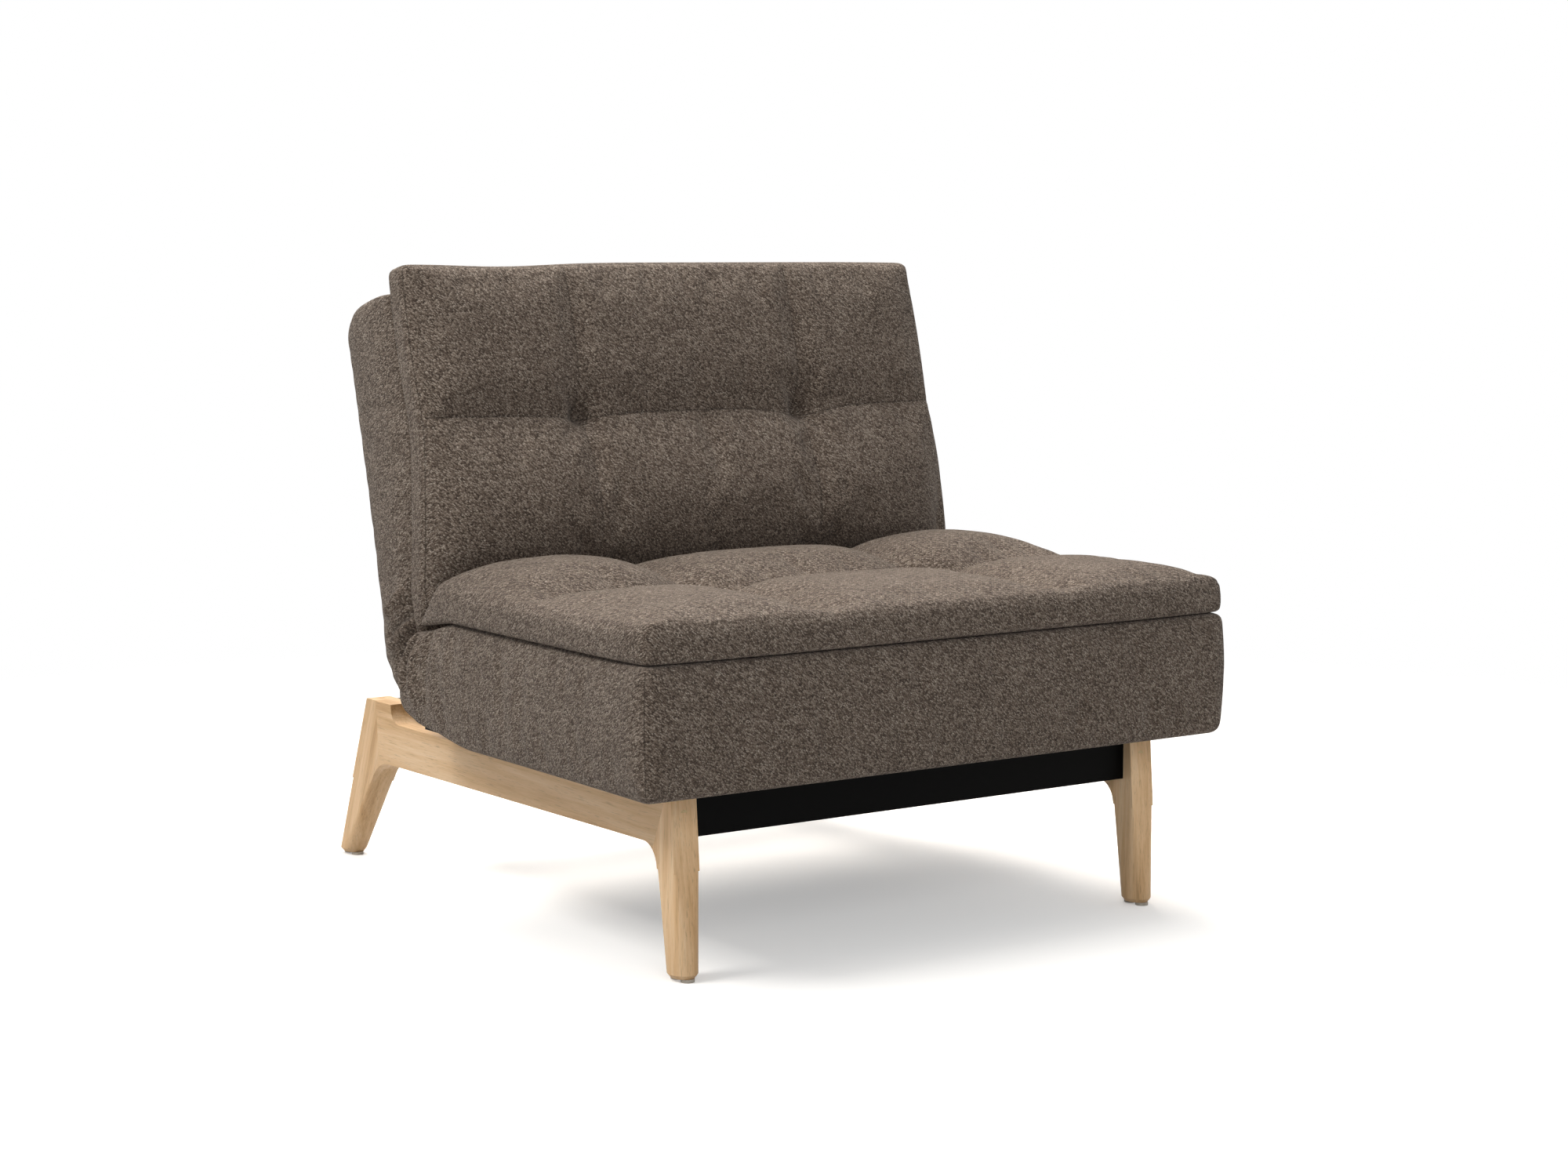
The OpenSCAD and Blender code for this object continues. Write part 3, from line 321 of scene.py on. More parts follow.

# %% [markdown]
# ## Oak and birch
# The legs and rails are solid oak with an oiled satin finish, and the slats and dowels are birch. Wood
# shows long fibres, growth bands a few millimetres wide, and in oak short open pores. Noise that is
# stretched along the grain gives all three. Each piece gets the grain's own direction: a rail is cut
# along its length, and the rear legs rake back. The front legs stand in the seat's shade, so their oak
# is painted paler, as painted light that keeps them about as bright as the rails.

# %% Oak and birch
OAK_STOPS = [(0.0, "#B0895B"), (0.35, "#C9A57A"), (0.6, "#D4B289"), (1.0, "#E0C4A1")]
# Painted light: a paler copy of the oak, for the front legs in the seat's shade.
PAINTED_LIGHT_OAK_STOPS = [(0.0, "#BC9262"), (0.35, "#D7B082"), (0.6, "#E3BE92"), (1.0, "#EDD0AA")]
BIRCH_STOPS = [(0.0, "#B99A6B"), (0.5, "#D0B384"), (1.0, "#DCC498")]
FIBRE_STRETCH = 0.045
BAND_WIDTH = 0.020
FIBRES_PER_METRE = 420.0
PORES_PER_METRE = 900.0
PORE_DEPTH = 0.0003
RAKE = -0.39


def timber(name, stops, along, turn=0.0):
    """Straight-grained wood: long fibres, wide growth bands and short pores along one axis."""
    made, tree, shader = material(name)
    place = add_node(tree, "ShaderNodeTexCoord")
    turned = add_node(tree, "ShaderNodeMapping", {"Rotation": (turn, 0, 0)},
                      {"Vector": place.outputs["Object"]})
    stretch = [1.0, 1.0, 1.0]
    stretch[along] = FIBRE_STRETCH
    grain = add_node(tree, "ShaderNodeMapping", {"Scale": stretch}, {"Vector": turned.outputs[0]})
    bands = add_node(tree, "ShaderNodeTexNoise", {"Scale": 1 / BAND_WIDTH, "Detail": 3.0, "Distortion": 0.6},
                     {"Vector": grain.outputs[0]})
    fibres = add_node(tree, "ShaderNodeTexNoise",
                      {"Scale": FIBRES_PER_METRE, "Detail": 4.0, "Roughness": 0.65},
                      {"Vector": grain.outputs[0]})
    mixed = add_node(tree, "ShaderNodeMath", {"operation": "MULTIPLY_ADD", 1: 0.4},
                     {0: fibres.outputs["Fac"], 2: bands.outputs["Fac"]})
    spread = add_node(tree, "ShaderNodeMapRange", {"From Min": 0.45, "From Max": 0.95},
                      {"Value": mixed.outputs[0]})
    colour = add_node(tree, "ShaderNodeValToRGB", None, {"Fac": spread.outputs[0]}, stops)
    pores = add_node(tree, "ShaderNodeTexNoise", {"Scale": PORES_PER_METRE, "Detail": 2.0},
                     {"Vector": grain.outputs[0]})
    pore = add_node(tree, "ShaderNodeMapRange",
                    {"From Min": 0.3, "From Max": 0.4, "To Min": 0.72, "To Max": 1.0},
                    {"Value": pores.outputs["Fac"]})
    dark = add_node(tree, "ShaderNodeMix", {"data_type": "RGBA", "blend_type": "MULTIPLY", 0: 1.0},
                    {6: colour.outputs[0], 7: pore.outputs[0]})
    tree.links.new(dark.outputs[2], shader.inputs["Base Color"])
    satin = add_node(tree, "ShaderNodeMapRange", {"To Min": 0.42, "To Max": 0.62},
                     {"Value": fibres.outputs["Fac"]})
    tree.links.new(satin.outputs[0], shader.inputs["Roughness"])
    shader.inputs["Specular IOR Level"].default_value = 0.35
    bump = add_node(tree, "ShaderNodeBump", {"Strength": 0.25, "Distance": PORE_DEPTH},
                    {"Height": pore.outputs[0]})
    tree.links.new(bump.outputs[0], shader.inputs["Normal"])
    return made


OAK_ALONG_Y = timber("oiled_oak_rail", OAK_STOPS, 1)
# Front legs: the paler copy of the oak, painted light against the seat's shade.
OAK_ALONG_Z_PAINTED_LIGHT = timber("oiled_oak_leg_painted_light", PAINTED_LIGHT_OAK_STOPS, 2)
OAK_RAKED = timber("oiled_oak_raked_leg", OAK_STOPS, 2, RAKE)
BIRCH_ALONG_X = timber("laminated_birch", BIRCH_STOPS, 0)
BIRCH_ALONG_Y = timber("birch_dowel", BIRCH_STOPS, 1)
print("growth bands", BAND_WIDTH * 1000, "mm wide")

# %% [markdown]
# ## Metals, nylon and felt
# The rails and tubes have a satin black powder coat, which is finely pebbled. The hinges and bolts are
# zinc plated, the inserts are turned brass, and the glides, slat sockets and washers are moulded nylon.
# The linings are black spunbond cloth and the spring packs white felt. Each of them shows one fine even
# grain, so one function makes them all from two close shades. The grain is given by the metre: 1400 is a
# pebble every 0.7 mm in the coat, and 300 a spangle every 3 mm in the zinc.

# %% Metals, nylon and felt
def fine_grain(name, dark, pale, grains_per_metre, roughness, metallic=0.0, relief=0.0001, gloss=0.5):
    """Surface between two close shades with a fine relief."""
    made, tree, shader = material(name)
    place = add_node(tree, "ShaderNodeTexCoord")
    grain = add_node(tree, "ShaderNodeTexNoise",
                     {"Scale": grains_per_metre, "Detail": 3.0, "Roughness": 0.6},
                     {"Vector": place.outputs["Object"]})
    colour = add_node(tree, "ShaderNodeValToRGB", None, {"Fac": grain.outputs["Fac"]},
                      [(0.3, dark), (0.7, pale)])
    tree.links.new(colour.outputs[0], shader.inputs["Base Color"])
    rough = add_node(tree, "ShaderNodeMapRange", {"To Min": roughness - 0.08, "To Max": roughness + 0.08},
                     {"Value": grain.outputs["Fac"]})
    tree.links.new(rough.outputs[0], shader.inputs["Roughness"])
    shader.inputs["Metallic"].default_value = metallic
    shader.inputs["Specular IOR Level"].default_value = gloss
    bump = add_node(tree, "ShaderNodeBump", {"Strength": 0.4, "Distance": relief},
                    {"Height": grain.outputs["Fac"]})
    tree.links.new(bump.outputs[0], shader.inputs["Normal"])
    return made


POWDER_COAT = fine_grain("satin_black_powder_coat", "#010101", "#040404", 1400.0, 0.5, gloss=0.05)
ZINC = fine_grain("zinc_plated_steel", "#A7AAAD", "#C2C4C6", 300.0, 0.35, 1.0, 0.00005)
BRASS = fine_grain("turned_brass", "#A8864A", "#C6A463", 500.0, 0.35, 1.0, 0.00005)
NYLON = fine_grain("moulded_nylon", "#ABA295", "#C0B8AB", 220.0, 0.55)
DUST_CLOTH = fine_grain("black_spunbond_cloth", "#0B0B0B", "#1B1B1C", 1100.0, 0.9, 0.0, 0.0006)
FELT = fine_grain("white_spring_felt", "#BDB8AC", "#DCD8CF", 700.0, 0.95, 0.0, 0.0008)
print("materials", len(bpy.data.materials))

# %% [markdown]
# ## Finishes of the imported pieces
# Most pieces of the frame stay as they are packed and only need their finish. The rails, plates and tubes
# are the largest group, so all pieces get the powder coat first, and the list below names the others.

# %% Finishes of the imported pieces
FINISHES = [
    (("joint_dowels",), BIRCH_ALONG_Y),
    (("seat_slat_1", "seat_slat_2", "seat_slat_3", "seat_slat_4"), BIRCH_ALONG_X),
    (("back_slat_1", "back_slat_2", "back_slat_3", "back_slat_4"), BIRCH_ALONG_X),
    (("seat_lining",), DUST_CLOTH),
    (("seat_spring_core", "back_spring_core"), FELT),
    (("floor_glides", "seat_slat_holders", "back_slat_holders", "hinge_washers"), NYLON),
    (("threaded_inserts",), BRASS),
    (("frame_bolts", "bracket_bolts", "seat_bolts", "pawl_pins", "hinge_pin_left", "hinge_pin_right",
      "hinge_pawl_left", "hinge_pawl_right", "hinge_seat_arm_left", "hinge_seat_arm_right",
      "hinge_back_arm_left", "hinge_back_arm_right"), ZINC),
]


def dress(obj, finish):
    """One finish on the whole object."""
    obj.data.materials.clear()
    obj.data.materials.append(finish)


for obj in nodes.values():
    dress(obj, POWDER_COAT)
for names, finish in FINISHES:
    for name in names:
        dress(nodes[name], finish)
print("pieces with a finish of their own", sum(len(names) for names, finish in FINISHES))

# %% [markdown]
# ## Oak legs and rails
# Each side frame is cut from three pieces of oak, glued at slanted joints. Their long edges are rounded
# over with a router. A Bevel modifier would round every edge, also those where two pieces meet. So each
# piece is a copy of its node, and only its long edges are bevelled. The faces at the joints stay sharp,
# which leaves the fine joint lines that the photograph shows.

# %% Copies of the oak pieces
MERGE = 1e-5


def merged_copy(node, name):
    """New object with the node's mesh, its loose triangles joined and its flat faces made whole."""
    shape = bmesh.new()
    shape.from_mesh(nodes[node].data)
    bmesh.ops.remove_doubles(shape, verts=shape.verts, dist=MERGE)
    bmesh.ops.dissolve_limit(shape, angle_limit=math.radians(1), verts=shape.verts, edges=shape.edges)
    mesh = bpy.data.meshes.new(name)
    shape.to_mesh(mesh)
    shape.free()
    obj = bpy.data.objects.new(name, mesh)
    scene.collection.objects.link(obj)
    return obj


DEPTH_HALF = 0.486
FRONT_JOINT = ((0.080, 0.213), (0.1052, 0.1558))
REAR_JOINT = ((0.838, 0.2385), (0.8113, 0.1501))


def joint_plane(upper, lower):
    """Point and normal of the glued face through two points, given from the seat's front edge."""
    along = Vector((0, lower[0] - upper[0], lower[1] - upper[1])).normalized()
    return Vector((0, upper[0] - DEPTH_HALF, upper[1])), Vector((0, along.z, -along.y))


JOINTS = (joint_plane(*FRONT_JOINT), joint_plane(*REAR_JOINT))
print("joints at", [[round(v, 3) for v in point] for point, normal in JOINTS])

# %% Rounded edges
OAK_ROUND = 0.0075
OAK_STEPS = 4
JOINT_REACH = 0.0006
SIDE_REACH = 1e-4
LEAST_FLAT = 1e-3


def is_side(face):
    """Whether a face lies across the width."""
    return abs(face.normal.x) > 0.99


def is_long_edge(edge, sides):
    """Whether an edge lies between a large flat side and the outline."""
    if len(edge.link_faces) != 2:
        return False
    flat, outline = sorted(edge.link_faces, key=is_side, reverse=True)
    if is_side(flat) == is_side(outline):
        return False
    width = abs(edge.verts[0].co.x)
    at_side = any(abs(width - side) < SIDE_REACH for side in sides)
    return at_side and flat.calc_area() >= LEAST_FLAT and abs(outline.normal.x) <= 0.2


def round_long_edges(obj):
    """Rounds the long edges, except where a joint face ends, and returns how many there are."""
    widths = [v.co.x for v in obj.data.vertices]
    sides = (abs(min(widths)), abs(max(widths)))
    shape = bmesh.new()
    shape.from_mesh(obj.data)
    chosen = []
    for edge in shape.edges:
        middle = (edge.verts[0].co + edge.verts[1].co) / 2
        in_joint = any(abs((middle - point).dot(normal)) < JOINT_REACH for point, normal in JOINTS)
        if is_long_edge(edge, sides) and not in_joint:
            chosen.append(edge)
    bmesh.ops.bevel(shape, geom=chosen, offset=OAK_ROUND, segments=OAK_STEPS, profile=0.5, affect="EDGES",
                    material=-1, clamp_overlap=True)
    bmesh.ops.recalc_face_normals(shape, faces=shape.faces)
    shape.to_mesh(obj.data)
    shape.free()
    return len(chosen)


WOOD = {
    "front_leg_left": OAK_ALONG_Z_PAINTED_LIGHT, "front_leg_right": OAK_ALONG_Z_PAINTED_LIGHT,
    "rear_leg_left": OAK_RAKED, "rear_leg_right": OAK_RAKED,
    "side_rail_left": OAK_ALONG_Y, "side_rail_right": OAK_ALONG_Y,
}

for node, finish in WOOD.items():
    piece = merged_copy(node, node + "_rounded")
    rounded = round_long_edges(piece)
    dress(piece, finish)
    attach(piece, "seat_and_base")
    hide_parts(node)
    print(piece.name, "edges rounded", rounded, "faces", len(piece.data.polygons))

# %% [markdown]
# ## Cushion blanks
# Every soft piece starts as a block of small square cells, like a foam blank under its cloth. Sculpting it
# point by point could not be repeated. Instead a formula puts each point where the sewn and stuffed piece
# has it, so that a size can be changed and the form follows. numpy moves all points at once.

# %% Block of cells
def block(name, size, cell):
    """Closed box of square cells, centred, with its sides along the axes."""
    shape = bmesh.new()
    bmesh.ops.create_cube(shape, size=1.0)
    bmesh.ops.scale(shape, vec=size, verts=shape.verts)
    for axis in range(3):
        cuts = max(1, round(size[axis] / cell)) - 1
        along = [e for e in shape.edges
                 if abs((e.verts[0].co - e.verts[1].co)[axis]) > 0.5 * size[axis]]
        bmesh.ops.subdivide_edges(shape, edges=along, cuts=cuts, use_grid_fill=True)
    mesh = bpy.data.meshes.new(name)
    shape.to_mesh(mesh)
    shape.free()
    obj = bpy.data.objects.new(name, mesh)
    scene.collection.objects.link(obj)
    print(name, "cells", len(mesh.polygons))
    return obj


# %% Points of a mesh as an array
def points(obj):
    """The mesh's points as an array."""
    co = np.empty(len(obj.data.vertices) * 3)
    obj.data.vertices.foreach_get("co", co)
    return co.reshape(-1, 3)


def set_points(obj, co):
    """Writes the points back."""
    obj.data.vertices.foreach_set("co", np.ascontiguousarray(co).ravel())
    obj.data.update()


def normals(obj):
    """The mesh's point normals as an array."""
    out = np.empty(len(obj.data.vertices) * 3)
    obj.data.vertex_normals.foreach_get("vector", out)
    return out.reshape(-1, 3)


def mark_seams(obj, across, along, border):
    """Keeps for each point how far it lies from three kinds of line, which the cloth's shader reads to paint
    shade along them.
    """
    layer = obj.data.attributes.get("seams") or obj.data.attributes.new("seams", "FLOAT_VECTOR", "POINT")
    layer.data.foreach_set("vector", np.stack([across, along, border], 1).ravel())


def seam_marks(obj):
    """Reads these lengths back, three for each point."""
    out = np.empty(len(obj.data.vertices) * 3)
    obj.data.attributes["seams"].data.foreach_get("vector", out)
    return out.reshape(-1, 3)


# %% Curves that shape the cushions
SMALLEST = 1e-9


def rounded_box(co, half, radii_top, radii_low):
    """Points of a box moved onto one with elliptic edges: other radii above than below."""
    upper = co[:, 2:3] > 0
    radii = np.where(upper, np.array(radii_top), np.array(radii_low))
    inner = np.clip(co, -(np.array(half) - radii), np.array(half) - radii)
    away = (co - inner) / radii
    length = np.maximum(np.linalg.norm(away, axis=1, keepdims=True), SMALLEST)
    return inner + radii * away / length * np.minimum(1, length * 1e6)


def bell(t):
    """Smooth hump of height 1."""
    return np.exp(-t * t)


def ramp_up(value, low, high):
    """Smooth step from 0 at low to 1 at high."""
    t = np.clip((value - low) / (high - low), 0, 1)
    return t * t * (3 - 2 * t)


def line_distance(y, z, path):
    """Distance of points of the side from a line of straight parts."""
    nearest = np.full(len(y), 1.0)
    for (ya, za), (yb, zb) in zip(path[:-1], path[1:]):
        share = ((y - ya) * (yb - ya) + (z - za) * (zb - za)) / ((yb - ya) ** 2 + (zb - za) ** 2)
        share = np.clip(share, 0, 1)
        nearest = np.minimum(nearest, np.hypot(y - ya - share * (yb - ya), z - za - share * (zb - za)))
    return nearest


print("a bell is", round(float(bell(1.0)), 3), "high one breadth from its middle")

# %% [markdown]
# ## Stuffing
# A cover is cut a little larger than flat and blown up by its filling, so it stands proud between the
# seams that hold it. Blender's Cloth does the same with pressure inside a closed mesh. It runs for twenty
# steps without gravity, its movement is capped, and the result becomes the mesh. Then each cell is split
# once, because seams and pleats are finer than the cells of the simulation.

# %% Stuffing
PRESSURE = 4.0
CLOTH_STEPS = 20
HOLD_STEPS = 10


def swell(obj, held, growth, cap):
    """Blows the cover up as cloth over its filling, held at its seams, and caps how far a point moves."""
    start = points(obj)
    group = obj.vertex_groups.new(name="held")
    steps = np.round(np.clip(held, 0, 1) * HOLD_STEPS).astype(int)
    for step in range(1, HOLD_STEPS + 1):
        group.add(np.nonzero(steps == step)[0].tolist(), step / HOLD_STEPS, "REPLACE")
    cover = obj.modifiers.new("swell", "CLOTH")
    cloth = cover.settings
    cloth.quality = 4
    cloth.mass = 0.4
    cloth.tension_stiffness = 12
    cloth.compression_stiffness = 12
    cloth.shear_stiffness = 6
    cloth.bending_stiffness = 4
    cloth.air_damping = 2
    cloth.use_pressure = True
    cloth.uniform_pressure_force = PRESSURE
    cloth.shrink_min = -growth
    cloth.vertex_group_mass = "held"
    cloth.effector_weights.gravity = 0
    cover.collision_settings.use_collision = False
    for step in range(1, CLOTH_STEPS + 1):
        scene.frame_set(step)
    graph = bpy.context.evaluated_depsgraph_get()
    shaped = np.empty(len(start) * 3)
    obj.evaluated_get(graph).data.vertices.foreach_get("co", shaped)
    moved = shaped.reshape(-1, 3) - start
    far = np.linalg.norm(moved, axis=1, keepdims=True)
    moved *= np.minimum(1, cap / np.maximum(far, SMALLEST))
    obj.modifiers.clear()
    obj.vertex_groups.clear()
    scene.frame_set(1)
    set_points(obj, start + moved)
    print(obj.name, "swollen by up to", round(float(far.max()) * 1000, 1), "mm")


def finer(obj):
    """Splits every cell in four and smooths, as one level of subdivision does."""
    divide = obj.modifiers.new("finer", "SUBSURF")
    divide.levels = 1
    divide.render_levels = 1
    graph = bpy.context.evaluated_depsgraph_get()
    mesh = bpy.data.meshes.new_from_object(obj.evaluated_get(graph))
    obj.modifiers.clear()
    obj.data = mesh
    print(obj.name, "split into", len(mesh.polygons), "cells")


# %% [markdown]
# ## The way the cloth lies
# A cover is cut from flat panels, and the weave runs straight in each of them. Unwrapping would bend it, so
# each side of a cushion is projected flat, in metres, and the weave follows that map. The back's pieces
# are made lying flat and then turned up about the hinge line. All four covers meet at the crease.

# %% Weave and hinge
HINGE = Vector((0, 0.154, 0.310))
FOLD = math.radians(76.5)
TOP_FAVOUR = 1.25


def lay_cloth(obj):
    """UV map in metres, one flat projection for each side of the piece, for the weave to follow."""
    mesh = obj.data
    layer = mesh.uv_layers.new(name="weave")
    corner_vertex = np.empty(len(mesh.loops), int)
    mesh.loops.foreach_get("vertex_index", corner_vertex)
    totals = np.empty(len(mesh.polygons), int)
    mesh.polygons.foreach_get("loop_total", totals)
    facing = np.empty(len(mesh.polygons) * 3)
    mesh.polygons.foreach_get("normal", facing)
    facing = np.abs(facing.reshape(-1, 3)) * np.array([1.0, 1.0, TOP_FAVOUR])
    side = np.repeat(facing.argmax(1), totals)
    at = points(obj)[corner_vertex]
    u = np.where(side == 0, at[:, 1], at[:, 0])
    v = np.where(side == 2, at[:, 1], at[:, 2])
    layer.data.foreach_set("uv", np.stack([u, v], 1).ravel())
    mesh.shade_smooth()


def rise(obj):
    """Turns a piece that was made lying flat up to the back's place."""
    turn = Matrix.Translation(HINGE) @ Matrix.Rotation(FOLD, 4, "X") @ Matrix.Translation(-HINGE)
    obj.data.transform(turn)
    obj.data.update()


def finish_soft(obj, replaced):
    """Weave map, cover and baked place of a soft piece, and the pieces it stands for hidden."""
    lay_cloth(obj)
    dress(obj, COVER)
    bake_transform(obj)
    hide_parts(*replaced)
    print(obj.name, "triangles", sum(len(p.vertices) - 2 for p in obj.data.polygons))


# %% [markdown]
# ## Form of a top pad
# Each pad is a thin mattress of three by two puffs. Two tufts pull the cover down where the channels
# cross, and the puffs between them crown up. The end towards the crease slopes under, because the pads
# press together there when the back is up. The crown could be left to the simulation alone, but its height
# couldn't be set then, so a formula gives it and the simulation only rounds it off.

# %% Crown, channels and tufts
SEAT_WIDTH = 0.900
TUFT_X = 0.180
EDGE_POWER = 5
CROWN_POWER = 0.6
FURROW_POWER = 1.4
PUFF_POWER = 2.4


def shared_fade(x, y, w, l):
    """Share of the crown that is left at a place, 0 at the pad's edges."""
    return np.clip(np.minimum(1 - np.abs(2 * x / w) ** EDGE_POWER,
                              1 - np.abs(2 * y / l - 1) ** EDGE_POWER), 0, 1)


def furrow(t):
    """Valley between two puffs, of depth 1: sharper at its bottom than a bell."""
    return np.exp(-np.abs(t) ** FURROW_POWER)


def pad_height(x, y, w, l, crown, row, channel, tuft, lean):
    """Height of the top sheet over the pad's edge, y from the free end."""
    upright_depth, row_depth, breadth = channel
    pit_depth, pit_breadth = tuft
    fade = shared_fade(x, y, w, l)
    beside = np.abs(np.abs(x) - TUFT_X)
    before = row - y
    away = np.hypot(beside, before / np.where(before > 0, lean, 1.0))
    return (crown * fade ** CROWN_POWER
            - upright_depth * furrow(beside / breadth) * fade
            - row_depth * furrow(before / breadth) * fade
            - pit_depth * bell(away / pit_breadth))


def outer_puffs(x, y, l, row):
    """Hump of height 1 on each of the four outer puffs, 0 at their seams."""
    u = np.clip((np.abs(x) - TUFT_X) / (SEAT_WIDTH / 2 - TUFT_X), 0, 1)
    v = np.where(y < row, y / row, (y - row) / (l - row))
    v = np.clip(v, 0, 1)
    return (1 - np.abs(2 * u - 1) ** PUFF_POWER) * (1 - np.abs(2 * v - 1) ** PUFF_POWER)


print("tufts", 2 * TUFT_X, "m apart")

# %% Pad lying flat
PAD_EDGE = 0.0433
PAD_CELL = 0.0075
PAD_ROUND_LOW = (0.011, 0.011, 0.010)
PINCH_BREADTH = 0.06
CORNER_POWER = 6
END_POWER = 8
SHEET_START = 0.55
SHEET_POWER = 1.2
SEAM_GRIP = 0.012
SEAM_HOLD = 0.85
EDGE_HOLD = 3
PAD_GROWTH = 0.015
PAD_CAP = 0.007


def pad(name, width, length, round_top, slope, pinch, corner, row, top_sheet, sag, widen):
    """Pad lying flat: free end at y = 0, edge seam at z = 0, and the sloping end at y = length."""
    w, l = width, length
    obj = block(name, (w, l, PAD_EDGE), PAD_CELL)
    flat = points(obj)
    inside = np.minimum(w / 2 - np.abs(flat[:, 0]), l / 2 - np.abs(flat[:, 1]))
    border = np.hypot(inside, PAD_EDGE / 2 - flat[:, 2])
    # Distance from the border, for the painted shade along it.
    mark_seams(obj, border, border, border)
    co = rounded_box(flat, (w / 2, l / 2, PAD_EDGE / 2), round_top, PAD_ROUND_LOW)
    top = np.clip((co[:, 2] + PAD_EDGE / 2) / PAD_EDGE, 0, 1)
    x = co[:, 0]
    y = co[:, 1] + l / 2
    a = x / (w / 2)
    b = 2 * y / l - 1
    x = x - a * (corner * (a * b) ** CORNER_POWER + pinch * bell((y - row) / PINCH_BREADTH) * a * a)
    x = x + widen(a, y)
    y = y - np.sign(b) * corner * (a * b) ** CORNER_POWER
    drop = PAD_EDGE * (1 - top)
    y_out = y + drop / math.tan(slope) * np.clip(y / l, 0, 1) ** END_POWER
    sheet = top_sheet(x, y) * np.clip((top - SHEET_START) / (1 - SHEET_START), 0, 1) ** SHEET_POWER
    set_points(obj, np.stack([x, y_out, -drop - sag(y_out) + sheet], 1))
    on_top = np.clip((top - 0.9) * 10, 0, 1)
    seam = np.maximum(bell((y - row) / SEAM_GRIP), bell((np.abs(np.abs(x) - TUFT_X)) / SEAM_GRIP))
    free = on_top * np.clip(shared_fade(x, y, w, l) * EDGE_HOLD, 0, 1)
    swell(obj, np.maximum(1 - free, SEAM_HOLD * seam), PAD_GROWTH, PAD_CAP)
    finer(obj)
    return obj


# %% [markdown]
# ## Sewing a pad
# The seams are thin lines where two panels meet, a few millimetres wide and about one deep, and the tufts
# are pulled through to the back. A displacement map could draw them, but it would leave the mesh itself
# flat. They are cut into the split mesh here, with short pleats that fan out round each tuft.

# %% Sewing a pad
PIT_AHEAD = 0.007
PIT_SQUASH = 0.75
PIT_BREADTH = 0.010
PIT_POWER = 0.8
SEAM_BREADTH = 0.0038
UPRIGHT_BREADTH = 0.0040
PLEATS = 6
PLEAT_RING = 0.040
PLEAT_BREADTH = 0.030
WANDERS_PER_METRE = 9
WANDER_PLANE = 3.1
UNEVEN = 0.0015
BORDER_DEPTH = 0.0008
BORDER_BREADTH = 0.0035
OUT_OF_SIGHT = 0.05


def sew_pad(obj, seam_y, seam_depth, upright_depth, pit, pleat):
    """Narrow seam lines, tuft pits and the short pleats round them, cut into the top sheet."""
    co = points(obj)
    border = seam_marks(obj)[:, 2]
    n = normals(obj)
    up = np.clip(n[:, 2] * 2 - 0.6, 0, 1)
    x, y = co[:, 0], co[:, 1]
    side = np.sign(x)
    across = y - seam_y(x)
    beside = np.abs(x) - TUFT_X
    away = np.hypot(np.abs(beside), (across + PIT_AHEAD) * PIT_SQUASH)
    angle = np.arctan2(across, beside * side)
    wander = np.array([noise.noise(Vector((px * WANDERS_PER_METRE, py * WANDERS_PER_METRE, WANDER_PLANE)))
                       for px, py in zip(x, y)])
    near = bell((away - PLEAT_RING) / PLEAT_BREADTH)
    down = (seam_depth * bell(across / SEAM_BREADTH)
            + upright_depth * bell(beside / UPRIGHT_BREADTH)
            + pit * bell(away / PIT_BREADTH) ** PIT_POWER
            + pleat * near * np.cos(PLEATS * angle + 1.7 * side + 3 * wander)
            + UNEVEN * wander)
    hidden = OUT_OF_SIGHT * (1 - up)
    # Lengths for the painted shade along the seams; off the top sheet they are pushed out of the shader's
    # reach.
    mark_seams(obj, across + np.sign(across) * hidden, beside + np.sign(beside) * hidden, border)
    co -= n * (BORDER_DEPTH * bell(border / BORDER_BREADTH))[:, None]
    co[:, 2] -= down * up
    set_points(obj, co)
    print(obj.name, "sewn up to", round(float((down * up).max()) * 1000, 1), "mm deep")


# %% [markdown]
# ## Seat pad
# The seat pad lies flush on its base. Its rear puffs are taller than the front ones, and its rear corners
# are squeezed back and down by the back pad. One formula gives all puffs their height, and each step has
# its own place along the pad, which is easier to match to a photograph than pushed points are. Its border
# gets no painted shade line, so that mark is moved out of the shader's reach.

# %% Seat pad
SEAT_PAD_LENGTH = 0.5437
SEAT_PAD_TOP = 0.4333
SEAT_SLOPE = math.radians(52.7)
SEAT_ROUND = (0.015, 0.015, 0.013)
SEAT_CORNER = 0.009
SEAT_ROW = 0.305
SEAT_CROWN = 0.026
FRONT_LOWER = 0.011
FRONT_STEP = (0.24, 0.36)
SEAT_CHANNEL = (0.019, 0.026, 0.040)
SEAT_TUFT = (0.014, 0.034)
REAR_PUFF = 0.010
FRONT_PUFF = 0.003
WIDER = 0.003
RIGHT_WIDER = 0.007
DROOP = 0.012
DROOP_STEP = (0.47, 0.58)


def seat_sheet(x, y):
    """Height of the seat pad's top sheet."""
    crown = SEAT_CROWN - FRONT_LOWER * (1 - ramp_up(y, *FRONT_STEP))
    sheet = pad_height(x, y, SEAT_WIDTH, SEAT_PAD_LENGTH, crown, SEAT_ROW, SEAT_CHANNEL, SEAT_TUFT, 1.0)
    taller = np.where(y > SEAT_ROW, REAR_PUFF, FRONT_PUFF)
    return sheet + taller * outer_puffs(x, y, SEAT_PAD_LENGTH, SEAT_ROW)


def seat_sag(y):
    """How far the pad's rear end droops into the crease."""
    return DROOP * ramp_up(y, *DROOP_STEP)


def seat_spread(a, y):
    """How far the sides stand out, more on the right, and the same along the whole pad."""
    return a * WIDER + RIGHT_WIDER * np.clip(a, 0, 1) ** 4


def straight_seam(x):
    """Line of the seam across the seat pad."""
    return SEAT_ROW + 0 * x


